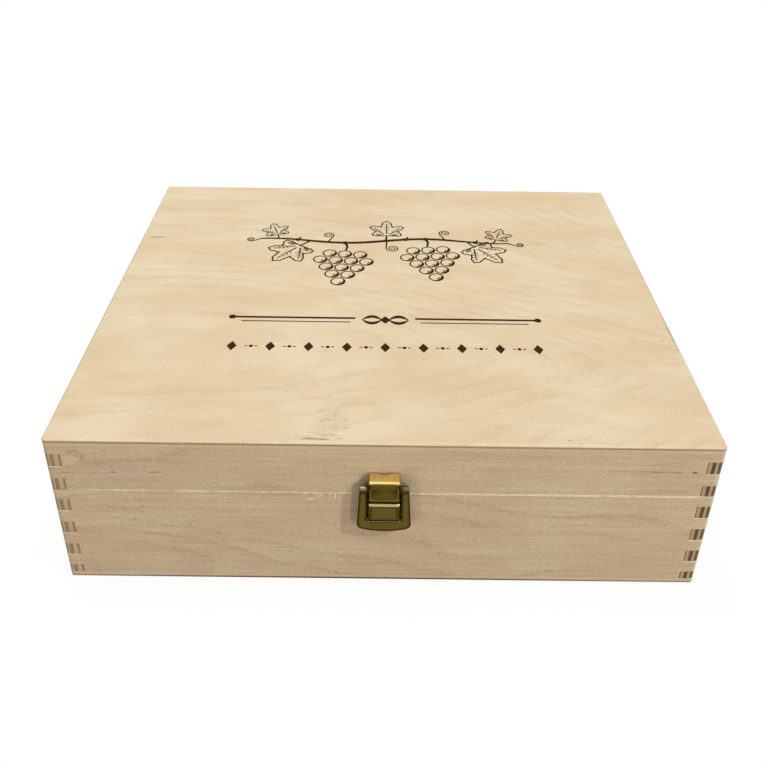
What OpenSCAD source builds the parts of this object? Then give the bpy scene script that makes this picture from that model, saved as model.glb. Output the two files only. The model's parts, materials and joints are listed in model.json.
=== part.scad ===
// Hinged plywood wine box for three bottles, lying side by side in three bays.
// The box is glued up closed from four finger-jointed walls and two thin panels,
// then sawn apart into a base and a lid, which two butt hinges and a draw latch hold together.
// Origin: middle of the underside. +X to the right seen from the front, +Y to the back, +Z up.

/* [Box] */
// Outer length, left to right
box_w = 340; // [320:1:380]
// Outer depth, front to back
box_d = 295; // [270:1:330]
// Outer height of the closed box
box_h = 97; // [94:1:110]
// Thickness of the plywood walls
wall_t = 8.5; // [8:0.5:12]
// Thickness of the top and bottom panels
panel_t = 4; // [3:0.5:5]
// Height of the base, from the underside to the saw cut
base_h = 64; // [62:0.2:66]
// Thickness of wood that the saw took out between base and lid
saw_loss = 2; // [1:0.1:2.2]
// Gap left all round between the closed lid and the base
rim_gap = 0.3; // [0.2:0.05:0.5]
// Radius of the sanded upright corners
corner_r = 3.0; // [0.5:0.1:3]
// Radius of the sanded edges of the panels
edge_r = 1.5; // [0.4:0.1:2]

/* [Finger joints] */
// Height of one finger
finger_h = 8; // [6:0.5:10]
// Distance from one finger to the next of the same wall
finger_pitch = 16; // [14:0.5:20]
// Height of the lower side of the side walls' lowest finger
first_finger = 1.4; // [0:0.1:4]

/* [Bottle dividers] */
// Thickness of the two slats between the bays
divider_t = 4; // [3:0.5:6]
// Height of the slats above the bottom panel
divider_h = 46; // [30:1:54]
// Depth of the grooves that hold the slats' ends
groove_depth = 2.5; // [1.5:0.5:4]

/* [Hinges] */
// Distance of each hinge's middle from the middle of the box
hinge_x = 105; // [60:1:120]
// Width of a hinge along its pin
hinge_w = 25; // [20:1:40]
// Reach of a leaf from the pin's axis
leaf_reach = 11; // [10:0.5:14]
// Thickness of a leaf
leaf_t = 0.9; // [0.7:0.1:1.1]
// Outer radius of a hinge knuckle
knuckle_r = 2; // [1.8:0.1:2.4]
// Radius of a hinge pin
hinge_pin_r = 1; // [0.8:0.1:1.1]
// Radius of a hinge screw's head
screw_head_r = 2.2; // [1.8:0.1:2.5]
// Radius of a hinge screw's shank
screw_shank_r = 1; // [0.8:0.1:1.2]
// Length of a hinge screw under the face of its head
screw_length = 7.4; // [5:0.2:7.6]

/* [Latch] */
// Half width of the lever at its ears
lever_half_top = 12.6; // [12:0.1:13]
// Half width of the lever at its lower corners
lever_half_low = 13.9; // [13.2:0.1:15]
// Height of the lever's lower tip
lever_tip_z = 42.7; // [40:0.1:44]
// Radius of the lever's curved lower edge
lever_tip_r = 43; // [30:1:60]
// Radius of the lever's lower corners
lever_corner_r = 3.4; // [2:0.2:4]
// Half width of the tongue
tongue_half = 7.85; // [7:0.05:7.9]
// Half width of the raised flap in the lever
flap_half = 8; // [7:0.1:8.2]
// Half width of the window between the lever's arms
window_half = 8.8; // [8.7:0.1:9]
// Height of the lower end of the window
window_low_z = 49.7; // [49:0.1:51]
// Height of the flap's upper edge
flap_top_z = 62; // [58:0.1:62.4]
// Distance that the flap stands forward of the lever's face
flap_rise = 1.2; // [0.8:0.1:1.4]
// Thickness of the pressed brass sheet
sheet_t = 0.9; // [0.7:0.05:1]
// Height of the lever's pin above the saw cut
lever_pin_rise = 6.5; // [6.2:0.05:6.8]
// Distance of the lever's pin from the front wall
lever_pin_out = 3.5; // [3.4:0.05:3.8]
// Height of the tongue's pin above the saw cut
tongue_pin_rise = -0.05; // [-0.2:0.05:0.1]
// Distance of the tongue's pin from the front wall
tongue_pin_out = 4.3; // [4.2:0.05:4.5]

/* [Hidden] */

wood = "#dcc7a0";
wood_edge = "#c9ad80";
panel_wood = "#e6d2ac";
brass = "#8c7636";
steel = "#b9a66a";

$fn = 64;
over = 1;                       // how far a cutting shape runs past what it cuts
slack = 0.05;                   // radial clearance of a turning fit

front_y = -box_d / 2;
back_y = box_d / 2;
lid_z = base_h + rim_gap;
saw_z = base_h + rim_gap / 2;   // middle of the saw cut, where the hinge axis lies
lid_drop = saw_loss - rim_gap;  // how far the sawn lid sits lower than when it was glued up
finger_last = ceil(box_h / finger_pitch);
inner_d = box_d - 2 * wall_t;
bay = (inner_d - 2 * divider_t) / 3;
divider_y = bay / 2 + divider_t / 2;

axle_gap = 0.1;                 // the knuckles' clearance from the back wall
hinge_y = back_y + knuckle_r + axle_gap;
knuckle_space = 0.2;            // play along the pin between two knuckles
knuckle_len = (hinge_w - 2 * knuckle_space) / 3;
leaf_notch = 2.3;               // how far a leaf is cut back beside the other leaf's knuckle
screw_x = 8;                    // a screw's distance from its hinge's middle
screw_rise = 6.6;               // a screw's distance from the hinge axis
screw_head_h = 1.2;
screw_slot_w = 0.6;             // the cross recess in a screw's head
screw_slot_depth = 0.7;
screw_slot_length = 2.6;
pin_head_r = 1.5;
pin_head_h = 0.5;

lever_pin_z = saw_z + lever_pin_rise;
lever_pin_r = 0.7;
lever_face_u = 5.25;            // the lever's front face, out from the front wall
ear_r = lever_face_u - lever_pin_out;
tongue_pin_z = saw_z + tongue_pin_rise;
tongue_pin_r = 0.5;
tongue_roll_r = 1.4;
tongue_t = 0.8;
boss_r = 0.95;
boss_len = 1.4;
lug_t = 0.6;                    // thickness of the base plate's two lugs
lug_r = 1.5;                    // radius of a lug round the lever's pin
lug_inner = tongue_half + 0.25;
lug_root_h = 6;                 // height of a lug where it leaves the base plate
lug_root_u = 2.6;               // reach of a lug at the base plate's top, out from the wall
base_plate_half = 11.5;
base_plate_low_z = 46.9;
base_plate_top_z = base_h - 0.7;
base_nail_x = 8;                // the base plate's nails: from the middle, its foot and its top
base_nail_low = 2.5;
base_nail_high = 4;
striker_half = 6.5;
striker_low_z = lid_z + 1.6;
striker_top_z = lever_pin_z + 5.6;
striker_nail_x = 3.6;           // the striker's nails: from the middle and from its foot
striker_nail_rise = 2.6;
hook_reach = [2.1, 2.6];        // the striker's hook: how far out and how far up its two bends lie
hook_rise = [0.25, 0.6];
ridge_u = 5.9;                  // middle of the tongue's upper bend, out from the front wall
ridge_z = lever_pin_z + 5.7;
ridge_r = 1;
lip_u = 0.85;                   // the tongue's turned-down end, out from the front wall
lip_top_rise = 1.7;             // its upper and lower end above the bend's middle
lip_end_rise = 1.2;
notch_r = 7.4;                  // the shallow thumb notch in the tongue's rear edge
notch_depth = 1.25;
flap_root_drop = 0.9;           // where the flap leaves the lever's face, below the window
flap_knee_rise = 0.6;           // where it has reached its full distance, above the window's end
nail_head_r = 1.3;
nail_head_h = 0.5;
nail_r = 0.6;
nail_length = 6.5;

// Points on an arc about c, from angle a0 to a1 in n steps.
function arc(c, r, a0, a1, n) =
  [for (i = [0 : n]) let (a = a0 + (a1 - a0) * i / n) c + r * [cos(a), sin(a)]];

// ---------- shared shapes ----------

module rounded_rect(w, d, r) {
  square([w - 2 * r, d], center = true);
  square([w, d - 2 * r], center = true);
  for (x = [-1, 1], y = [-1, 1])
    translate([x * (w / 2 - r), y * (d / 2 - r)]) circle(r);
}

// The closed box as one block with sanded upright corners.
module outer_block() {
  linear_extrude(box_h) rounded_rect(box_w, box_d, corner_r);
}

// The squares at the four corners, at the heights that the side walls' fingers fill.
module side_fingers(drop) {
  for (k = [0 : finger_last], x = [0, 1], y = [0, 1])
    translate([x * (box_w - wall_t) - box_w / 2, y * (box_d - wall_t) - box_d / 2,
               first_finger + k * finger_pitch - drop])
      cube([wall_t, wall_t, finger_h]);
}

// A front or back wall between two heights; side is -1 at the front and 1 at the back.
module long_wall(side, z0, z1, drop) {
  intersection() {
    outer_block();
    difference() {
      translate([-box_w / 2, side * (box_d - wall_t) / 2 - wall_t / 2, z0])
        cube([box_w, wall_t, z1 - z0]);
      side_fingers(drop);
    }
  }
}

// A left or right wall between two heights; side is -1 on the left and 1 on the right.
module short_wall(side, z0, z1, drop) {
  intersection() {
    outer_block();
    translate([side * (box_w - wall_t) / 2 - wall_t / 2, front_y, z0])
      cube([wall_t, box_d, z1 - z0]);
    union() {
      translate([-box_w / 2, -inner_d / 2, 0]) cube([box_w, inner_d, box_h]);
      side_fingers(drop);
    }
  }
}

// A panel's cross-section with its two outer edges sanded round, outer side up.
module eased_section(width) {
  translate([-width / 2, 0]) square([width, panel_t - edge_r]);
  translate([-width / 2 + edge_r, 0]) square([width - 2 * edge_r, panel_t]);
  for (x = [-1, 1]) translate([x * (width / 2 - edge_r), panel_t - edge_r]) circle(edge_r);
}

// A top or bottom panel lying on z = 0 with its outer side up.
module panel() {
  intersection() {
    translate([0, 0, -over]) linear_extrude(panel_t + 2 * over) rounded_rect(box_w, box_d, corner_r);
    translate([-box_w / 2, 0, 0]) rotate([90, 0, 90]) linear_extrude(box_w) eased_section(box_d);
    translate([0, box_d / 2, 0]) rotate([90, 0, 0]) linear_extrude(box_d) eased_section(box_w);
  }
}

module divider_grooves() {
  for (y = [-divider_y, divider_y])
    translate([-box_w / 2 + wall_t - groove_depth, y - divider_t / 2, panel_t])
      cube([box_w - 2 * wall_t + 2 * groove_depth, divider_t, base_h]);
}

module divider(y) {
  translate([-box_w / 2 + wall_t - groove_depth, y - divider_t / 2, panel_t])
    cube([box_w - 2 * wall_t + 2 * groove_depth, divider_t, divider_h]);
}

// ---------- hinges ----------

// Everything on a hinge's axis: x runs along the pin, from the hinge's middle.
module along_pin(x0, x1) {
  translate([x0, hinge_y, saw_z]) rotate([90, 0, 90]) linear_extrude(x1 - x0) children();
}

module knuckle(x0, x1, bore_r) {
  difference() {
    union() {
      along_pin(x0, x1) circle(knuckle_r);
      translate([x0, back_y, saw_z]) cube([x1 - x0, leaf_t, leaf_notch + over]);
    }
    along_pin(x0 - over, x1 + over) circle(bore_r);
  }
}

module leaf_plate() {
  translate([-hinge_w / 2, back_y, saw_z + leaf_notch])
    cube([hinge_w, leaf_t, leaf_reach - leaf_notch]);
}

// A countersunk screw driven forwards into the back wall, head flush with the leaf.
module screw_blank(x, z) {
  translate([x, back_y + leaf_t, z]) rotate([90, 0, 0]) {
    cylinder(h = screw_length, r = screw_shank_r);
    cylinder(h = screw_head_h, r1 = screw_head_r, r2 = screw_shank_r);
  }
}

module screw(x, z) {
  difference() {
    screw_blank(x, z);
    for (turn = [0, 90])
      translate([x, back_y + leaf_t, z]) rotate([0, turn, 0])
        cube([screw_slot_length, 2 * screw_slot_depth, screw_slot_w], center = true);
  }
}

module leaf_screw_blanks(up) {
  for (x = [-screw_x, screw_x]) screw_blank(x, saw_z + up * screw_rise);
}

module wall_screw_blanks(up) {
  for (hx = [-hinge_x, hinge_x]) translate([hx, 0, 0]) leaf_screw_blanks(up);
}

// The leaf with the middle knuckle, lying above the pin.
module lid_leaf() {
  difference() {
    union() {
      leaf_plate();
      knuckle(-knuckle_len / 2, knuckle_len / 2, hinge_pin_r + slack);
    }
    leaf_screw_blanks(1);
  }
}

// The leaf with the two outer knuckles, lying below the pin.
module base_leaf() {
  inner_x = knuckle_len / 2 + knuckle_space;
  difference() {
    translate([0, 0, 2 * saw_z]) mirror([0, 0, 1]) {
      leaf_plate();
      knuckle(-hinge_w / 2, -inner_x, hinge_pin_r);
      knuckle(inner_x, hinge_w / 2, hinge_pin_r);
    }
    leaf_screw_blanks(-1);
  }
}

module hinge_pin() {
  along_pin(-hinge_w / 2, hinge_w / 2) circle(hinge_pin_r);
  for (x = [-hinge_w / 2 - pin_head_h, hinge_w / 2]) along_pin(x, x + pin_head_h) circle(pin_head_r);
}

// ---------- latch ----------
// Sections are drawn with the distance out from the front wall across and the height up.

module latch_section(x0, x1) {
  translate([x0, front_y, 0]) mirror([0, 1, 0]) rotate([90, 0, 90])
    linear_extrude(x1 - x0) children();
}

// The same section on both sides of the middle.
module latch_section_pair(x0, x1) {
  latch_section(x0, x1) children();
  latch_section(-x1, -x0) children();
}

// A bent strip of sheet that follows a line of points.
module strip(points, t) {
  for (i = [0 : len(points) - 2]) {
    run = points[i + 1] - points[i];
    translate(points[i]) rotate(atan2(run[1], run[0])) {
      translate([0, -t / 2]) square([norm(run), t]);
      circle(t / 2);
      translate([norm(run), 0]) circle(t / 2);
    }
  }
}

module ring(centre, r_out, r_in) {
  translate(centre) difference() {
    circle(r_out);
    circle(r_in);
  }
}

// A round-headed nail driven backwards from a face u in front of the front wall.
module nail(x, z, u) {
  translate([x, front_y - u, z]) rotate([-90, 0, 0]) {
    cylinder(h = nail_length, r = nail_r);
    translate([0, 0, -nail_head_h]) cylinder(h = nail_head_h, r = nail_head_r);
  }
}

module base_nails() {
  for (x = [-base_nail_x, base_nail_x],
       z = [base_plate_low_z + base_nail_low, base_plate_top_z - base_nail_high]) nail(x, z, sheet_t);
}

module striker_nails() {
  for (x = [-striker_nail_x, striker_nail_x]) nail(x, striker_low_z + striker_nail_rise, sheet_t);
}

// The lever's outline from the front: straight sides that spread, round corners, a curved tip.
module lever_outline() {
  tip_centre_z = lever_tip_z + lever_tip_r;
  corner_x = lever_half_low - lever_corner_r;
  corner_z = tip_centre_z - sqrt(pow(lever_tip_r - lever_corner_r, 2) - pow(corner_x, 2));
  touch = lever_tip_r / (lever_tip_r - lever_corner_r);
  touch_x = corner_x * touch;
  polygon([[-lever_half_low, corner_z], [lever_half_low, corner_z],
           [lever_half_top, lever_pin_z], [-lever_half_top, lever_pin_z]]);
  for (x = [-corner_x, corner_x]) translate([x, corner_z]) circle(lever_corner_r);
  intersection() {
    translate([0, tip_centre_z]) circle(lever_tip_r, $fn = 180);
    translate([-touch_x, lever_tip_z - over]) square([2 * touch_x, corner_z - lever_tip_z + 2 * over]);
  }
}

module lever_window() {
  translate([-window_half, window_low_z]) square([2 * window_half, box_h]);
}

module lever_plate() {
  translate([0, front_y - lever_face_u + sheet_t, 0]) rotate([90, 0, 0]) linear_extrude(sheet_t)
    difference() {
      lever_outline();
      lever_window();
    }
}

module lever_flap() {
  mid = lever_face_u - sheet_t / 2;
  latch_section(-flap_half, flap_half)
    strip([[mid, window_low_z - flap_root_drop], [mid + flap_rise, window_low_z + flap_knee_rise],
           [mid + flap_rise, flap_top_z - sheet_t / 2]], sheet_t);
}

module lever_pin_bore(r) {
  latch_section(-lever_half_low, lever_half_low) translate([lever_pin_out, lever_pin_z]) circle(r);
}

module tongue_pin_bore(r) {
  latch_section(-lever_half_low, lever_half_low) translate([tongue_pin_out, tongue_pin_z]) circle(r);
}

// ---------- named pieces ----------

module base_front_wall() {
  color(wood) difference() {
    long_wall(-1, panel_t, base_h, 0);
    base_nails();
  }
}

module base_back_wall() {
  color(wood) difference() {
    long_wall(1, panel_t, base_h, 0);
    wall_screw_blanks(-1);
  }
}

module base_left_wall() {
  color(wood_edge) difference() {
    short_wall(-1, panel_t, base_h, 0);
    divider_grooves();
  }
}

module base_right_wall() {
  color(wood_edge) difference() {
    short_wall(1, panel_t, base_h, 0);
    divider_grooves();
  }
}

module base_bottom_panel() {
  color(panel_wood) translate([0, 0, panel_t]) mirror([0, 0, 1]) panel();
}

module bottle_divider_front() { color(panel_wood) divider(-divider_y); }

module bottle_divider_rear() { color(panel_wood) divider(divider_y); }

module lid_front_wall() {
  color(wood) difference() {
    long_wall(-1, lid_z, box_h - panel_t, lid_drop);
    striker_nails();
  }
}

module lid_back_wall() {
  color(wood) difference() {
    long_wall(1, lid_z, box_h - panel_t, lid_drop);
    wall_screw_blanks(1);
  }
}

module lid_left_wall() { color(wood_edge) short_wall(-1, lid_z, box_h - panel_t, lid_drop); }

module lid_right_wall() { color(wood_edge) short_wall(1, lid_z, box_h - panel_t, lid_drop); }

module lid_top_panel() { color(panel_wood) translate([0, 0, box_h - panel_t]) panel(); }

module hinge_left_base_leaf() { color(brass) translate([-hinge_x, 0, 0]) base_leaf(); }

module hinge_left_lid_leaf() { color(brass) translate([-hinge_x, 0, 0]) lid_leaf(); }

module hinge_left_pin() { color(steel) translate([-hinge_x, 0, 0]) hinge_pin(); }

module hinge_right_base_leaf() { color(brass) translate([hinge_x, 0, 0]) base_leaf(); }

module hinge_right_lid_leaf() { color(brass) translate([hinge_x, 0, 0]) lid_leaf(); }

module hinge_right_pin() { color(steel) translate([hinge_x, 0, 0]) hinge_pin(); }

module hinge_base_screws() {
  color(steel) for (hx = [-hinge_x, hinge_x], x = [-screw_x, screw_x]) screw(hx + x, saw_z - screw_rise);
}

module hinge_lid_screws() {
  color(steel) for (hx = [-hinge_x, hinge_x], x = [-screw_x, screw_x]) screw(hx + x, saw_z + screw_rise);
}

// A flat plate nailed to the base, with two lugs that reach up and out to the lever's pin.
module latch_base_plate() {
  lug_low_z = base_plate_top_z - lug_root_h;
  pin = [lever_pin_out, lever_pin_z];
  color(brass) difference() {
    union() {
      latch_section(-base_plate_half, base_plate_half)
        translate([0, base_plate_low_z]) square([sheet_t, base_plate_top_z - base_plate_low_z]);
      latch_section_pair(lug_inner, lug_inner + lug_t) {
        translate(pin) circle(lug_r);
        polygon([[0, lug_low_z], [0, base_plate_top_z], pin + lug_r * [cos(190), sin(190)],
                 pin + lug_r * [cos(-10), sin(-10)], [lug_root_u, base_plate_top_z],
                 [sheet_t, lug_low_z]]);
      }
    }
    lever_pin_bore(lever_pin_r);
    base_nails();
  }
}

module latch_base_nails() { color(brass) base_nails(); }

module latch_lever_pin() {
  color(steel) latch_section(-lever_half_top + 0.1, lever_half_top - 0.1)
    translate([lever_pin_out, lever_pin_z]) circle(lever_pin_r);
}

// The shield-shaped lever: two arms with rolled ears, a lower lip, and a flap pressed forward.
module latch_lever() {
  color(brass) difference() {
    union() {
      lever_plate();
      lever_flap();
      latch_section_pair(window_half, lever_half_top)
        translate([lever_pin_out, lever_pin_z]) circle(ear_r);
      latch_section_pair(window_half, window_half + boss_len)
        translate([tongue_pin_out, tongue_pin_z]) circle(boss_r);
    }
    lever_pin_bore(lever_pin_r + slack);
    latch_section_pair(window_half - over, window_half + boss_len)
      translate([tongue_pin_out, tongue_pin_z]) circle(tongue_pin_r);
  }
}

module latch_tongue_pin() {
  color(steel) latch_section(-window_half - boss_len, window_half + boss_len)
    translate([tongue_pin_out, tongue_pin_z]) circle(tongue_pin_r);
}

// The tongue: rolled round its pin, then up, bent in over the striker and turned down at its end.
module latch_tongue() {
  pin = [tongue_pin_out, tongue_pin_z];
  bend = arc([ridge_u, ridge_z], ridge_r, -12, 98, 8);
  lip_top = [lip_u, ridge_z + lip_top_rise];
  lip_end = [lip_u, ridge_z + lip_end_rise];
  color(brass) difference() {
    latch_section(-tongue_half, tongue_half) difference() {
      union() {
        translate(pin) circle(tongue_roll_r);
        strip(concat([pin], bend, [lip_top, lip_end]), tongue_t);
      }
      translate(pin) circle(tongue_pin_r + slack);
    }
    translate([0, front_y - lip_u + tongue_t / 2 + notch_r - notch_depth, ridge_z])
      cylinder(h = 2 * lip_top_rise, r = notch_r);
  }
}

// The striker on the lid: a plate with its upper edge bent out and up into a hook.
module latch_striker() {
  mid = sheet_t / 2;
  color(brass) difference() {
    latch_section(-striker_half, striker_half)
      strip([[mid, striker_low_z + mid], [mid, striker_top_z],
             [hook_reach[0], striker_top_z + hook_rise[0]],
             [hook_reach[1], striker_top_z + hook_rise[1]]], sheet_t);
    striker_nails();
  }
}

module latch_striker_nails() { color(brass) striker_nails(); }

base_front_wall();
base_back_wall();
base_left_wall();
base_right_wall();
base_bottom_panel();
bottle_divider_front();
bottle_divider_rear();
lid_front_wall();
lid_back_wall();
lid_left_wall();
lid_right_wall();
lid_top_panel();
hinge_left_base_leaf();
hinge_left_lid_leaf();
hinge_left_pin();
hinge_right_base_leaf();
hinge_right_lid_leaf();
hinge_right_pin();
hinge_base_screws();
hinge_lid_screws();
latch_base_plate();
latch_base_nails();
latch_lever_pin();
latch_lever();
latch_tongue_pin();
latch_tongue();
latch_striker();
latch_striker_nails();
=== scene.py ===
"""Dressed model of a hinged plywood wine box: plywood and brass finishes, latch, lid print, studio."""

import json
import logging
import math
from dataclasses import asdict, dataclass, field, replace
from enum import Enum
from functools import partial, reduce
from typing import Dict, Iterable, List, Optional, Sequence, Tuple, Union

import bmesh
import bpy
from mathutils import Matrix, Vector


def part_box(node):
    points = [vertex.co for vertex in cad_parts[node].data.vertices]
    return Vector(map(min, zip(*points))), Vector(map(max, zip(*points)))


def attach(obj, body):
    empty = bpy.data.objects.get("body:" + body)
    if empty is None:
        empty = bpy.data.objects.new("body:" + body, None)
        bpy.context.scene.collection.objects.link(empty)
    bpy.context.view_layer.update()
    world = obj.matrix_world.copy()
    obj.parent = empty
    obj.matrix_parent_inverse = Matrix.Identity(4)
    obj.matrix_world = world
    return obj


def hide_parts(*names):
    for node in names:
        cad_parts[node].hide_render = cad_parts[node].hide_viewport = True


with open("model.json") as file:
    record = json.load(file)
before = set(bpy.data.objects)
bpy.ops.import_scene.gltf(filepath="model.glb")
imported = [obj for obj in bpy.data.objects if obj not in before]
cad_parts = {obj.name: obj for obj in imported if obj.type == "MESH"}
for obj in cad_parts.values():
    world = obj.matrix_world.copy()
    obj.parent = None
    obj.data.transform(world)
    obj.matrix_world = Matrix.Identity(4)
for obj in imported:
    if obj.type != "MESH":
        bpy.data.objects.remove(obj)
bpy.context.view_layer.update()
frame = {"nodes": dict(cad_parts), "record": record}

logging.basicConfig(level=logging.INFO, format="%(name)s: %(message)s")
LOG = logging.getLogger("wine_box")

MM = 0.001
# Point attribute of painted highlight, partly rubbing: 1 is bright, below 0 keeps a part dull.
RUB_AND_HIGHLIGHT = "rub"

BMesh = bmesh.types.BMesh
Material = bpy.types.Material
Mesh = bpy.types.Mesh
Object = bpy.types.Object
Socket = bpy.types.NodeSocket
Sockets = bpy.types.bpy_prop_collection
Value = Union[float, Sequence[float], Socket, None]
Outputs = Dict[str, Value]
Point2 = Tuple[float, float]
Point3 = Tuple[float, float, float]
Colour = Tuple[float, float, float]


# ---- frame sizes


class Axis(Enum):
    """The three axes of the frame."""

    X = (1.0, 0.0, 0.0)
    Y = (0.0, 1.0, 0.0)
    Z = (0.0, 0.0, 1.0)


@dataclass(frozen=True)
class FrameSizes:
    """Places of the box in the frame, in millimetres, read from the frame's own nodes."""

    left: float
    right: float
    front: float
    back: float
    top: float
    saw_z: float
    wall: float

    @classmethod
    def read(cls) -> "FrameSizes":
        """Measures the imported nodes.

        Returns:
            The sizes.
        """
        base_low, base_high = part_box("base_front_wall")
        lid_low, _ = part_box("lid_front_wall")
        _, panel_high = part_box("lid_top_panel")
        _, back_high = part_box("base_back_wall")
        return cls(
            left=base_low.x / MM, right=base_high.x / MM, front=base_low.y / MM, back=back_high.y / MM,
            top=panel_high.z / MM, saw_z=(base_high.z + lid_low.z) / 2 / MM,
            wall=(base_high.y - base_low.y) / MM)


SIZES = FrameSizes.read()


# ---- node helpers


class Graph:
    """A node tree under construction, with one short method for each kind of node."""

    COLUMNS = 12
    SPACING = (220, -260)

    def __init__(self, tree: bpy.types.NodeTree) -> None:
        """Starts on an empty tree."""
        self.tree = tree
        self._count = 0

    def add(self, kind: str, inputs: Optional[Dict[object, Value]] = None,
            **settings: object) -> bpy.types.Node:
        """Adds a node.

        Args:
            kind: the node's type name.
            inputs: values or sockets for its inputs, by name or index.
            settings: properties of the node.

        Returns:
            The new node.
        """
        node = self.tree.nodes.new(kind)
        row, column = divmod(self._count, self.COLUMNS)
        node.location = (self.SPACING[0] * column, self.SPACING[1] * row)
        self._count += 1
        for key, value in settings.items():
            setattr(node, key, value)
        for key, value in (inputs or {}).items():
            self.feed(node.inputs[key], value)
        return node

    def feed(self, socket: Socket, value: Value) -> None:
        """Links an input, or sets its value.

        Args:
            socket: the input.
            value: an output to link to it, a value, or None to leave it alone.
        """
        if isinstance(value, Socket):
            self.tree.links.new(value, socket)
        elif value is not None:
            if socket.type == "RGBA" and len(value) == 3:
                value = (*value, 1.0)
            socket.default_value = value

    def math(self, operation: str, *values: Value, clamp: bool = False) -> Socket:
        """Adds a Math node.

        Args:
            operation, values: what it does, and its inputs in order.
            clamp: whether the result is held between 0 and 1.

        Returns:
            The result.
        """
        node = self.add("ShaderNodeMath", operation=operation, use_clamp=clamp)
        for socket, value in zip(node.inputs, values):
            self.feed(socket, value)
        return node.outputs[0]

    def total(self, *values: Value) -> Socket:
        """Returns the sum of all the values."""
        return reduce(partial(self.math, "ADD"), values)

    def times(self, *values: Value) -> Socket:
        """Returns the product of all the values."""
        return reduce(partial(self.math, "MULTIPLY"), values)

    def minus(self, first: Value, second: Value) -> Socket:
        """Returns the first value less the second."""
        return self.math("SUBTRACT", first, second)

    def largest(self, first: Value, second: Value, clamp: bool = False) -> Socket:
        """Returns the larger of two values."""
        return self.math("MAXIMUM", first, second, clamp=clamp)

    def size(self, value: Value) -> Socket:
        """Returns a value without its sign."""
        return self.math("ABSOLUTE", value)

    def vector(self, operation: str, first: Value, second: Value = None) -> Socket:
        """Adds a Vector Math node.

        Args:
            operation: what it does.
            first, second: its vectors; for SCALE, the second is a factor.

        Returns:
            The result, a number or a vector.
        """
        node = self.add("ShaderNodeVectorMath", operation=operation)
        self.feed(node.inputs[0], first)
        self.feed(node.inputs["Scale" if operation == "SCALE" else 1], second)
        return node.outputs["Value" if operation in ("DOT_PRODUCT", "LENGTH") else "Vector"]

    def ramp(self, value: Value, low: Value, high: float, start: Value = 0.0, end: Value = 1.0,
             smooth: bool = True) -> Socket:
        """Returns a value mapped from one range to another, held at the ends, eased if smooth."""
        return self.add("ShaderNodeMapRange", {
            "Value": value, "From Min": low, "From Max": high, "To Min": start, "To Max": end},
            interpolation_type="SMOOTHSTEP" if smooth else "LINEAR").outputs["Result"]

    def _mix(self, kind: str, suffix: str, factor: Value, first: Value, second: Value) -> Socket:
        """Adds a Mix node.

        Args:
            kind, suffix: its data type, and the ending of that type's socket identifiers.
            factor: the share of the second value.
            first, second: the two values.

        Returns:
            The mixed value.
        """
        node = self.add("ShaderNodeMix", data_type=kind)
        named = {socket.identifier: socket for socket in (*node.inputs, *node.outputs)}
        for key, value in (("Factor_Float", factor), (f"A_{suffix}", first), (f"B_{suffix}", second)):
            self.feed(named[key], value)
        return named[f"Result_{suffix}"]

    def blend(self, factor: Value, first: Value, second: Value) -> Socket:
        """Returns a blend of two colours."""
        return self._mix("RGBA", "Color", factor, first, second)

    def between(self, factor: Value, first: Value, second: Value) -> Socket:
        """Returns a number between two numbers."""
        return self._mix("FLOAT", "Float", factor, first, second)

    def combine(self, x: Value, y: Value, z: Value) -> Socket:
        """Returns a vector of three numbers."""
        return self.add("ShaderNodeCombineXYZ", {"X": x, "Y": y, "Z": z}).outputs["Vector"]

    def separate(self, vector: Value) -> Tuple[Socket, ...]:
        """Returns a vector's three numbers."""
        return tuple(self.add("ShaderNodeSeparateXYZ", {"Vector": vector}).outputs)

    def noise(self, vector: Value, scale: float = 1.0, detail: float = 2.0, roughness: float = 0.5) -> Socket:
        """Returns a Noise Texture's factor."""
        return self.add("ShaderNodeTexNoise", {
            "Vector": vector, "Scale": scale, "Detail": detail, "Roughness": roughness}).outputs["Fac"]

    def stretched(self, parts: Sequence[Socket], scales: Sequence[float], shift: float = 0.0,
                  detail: float = 2.0, roughness: float = 0.5) -> Socket:
        """Returns noise that is stretched along each coordinate by its own scale, and then shifted."""
        scaled = [self.math("MULTIPLY_ADD", part, scale, shift) for part, scale in zip(parts, scales)]
        return self.noise(self.combine(*scaled), 1.0, detail, roughness)

    def place(self) -> Tuple[Socket, Socket]:
        """Returns the object's own coordinates in millimetres, and its normal."""
        coordinates = self.add("ShaderNodeTexCoord").outputs
        return self.vector("SCALE", coordinates["Object"], 1.0 / MM), coordinates["Normal"]

    def bump(self, height: Value, strength: float, depth: float) -> Socket:
        """Returns the normal of a surface with bumps, whose depth is in millimetres."""
        return self.add("ShaderNodeBump", {
            "Strength": strength, "Distance": depth * MM, "Height": height}).outputs["Normal"]

    def surface(self, inputs: Dict[str, Value]) -> None:
        """Ends a material with a Principled shader that has these inputs."""
        shader = self.add("ShaderNodeBsdfPrincipled", inputs)
        self.add("ShaderNodeOutputMaterial", {"Surface": shader.outputs[0]})


def emptied(owner: Union[Material, bpy.types.World]) -> Graph:
    """Clears a material's or a world's nodes.

    Args:
        owner: the material or world.

    Returns:
        A graph on its tree.
    """
    owner.use_nodes = True
    owner.node_tree.nodes.clear()
    return Graph(owner.node_tree)


def new_material(name: str) -> Tuple[Material, Graph]:
    """Returns a new material and the graph of its empty tree."""
    material = bpy.data.materials.new(name)
    return material, emptied(material)


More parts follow.
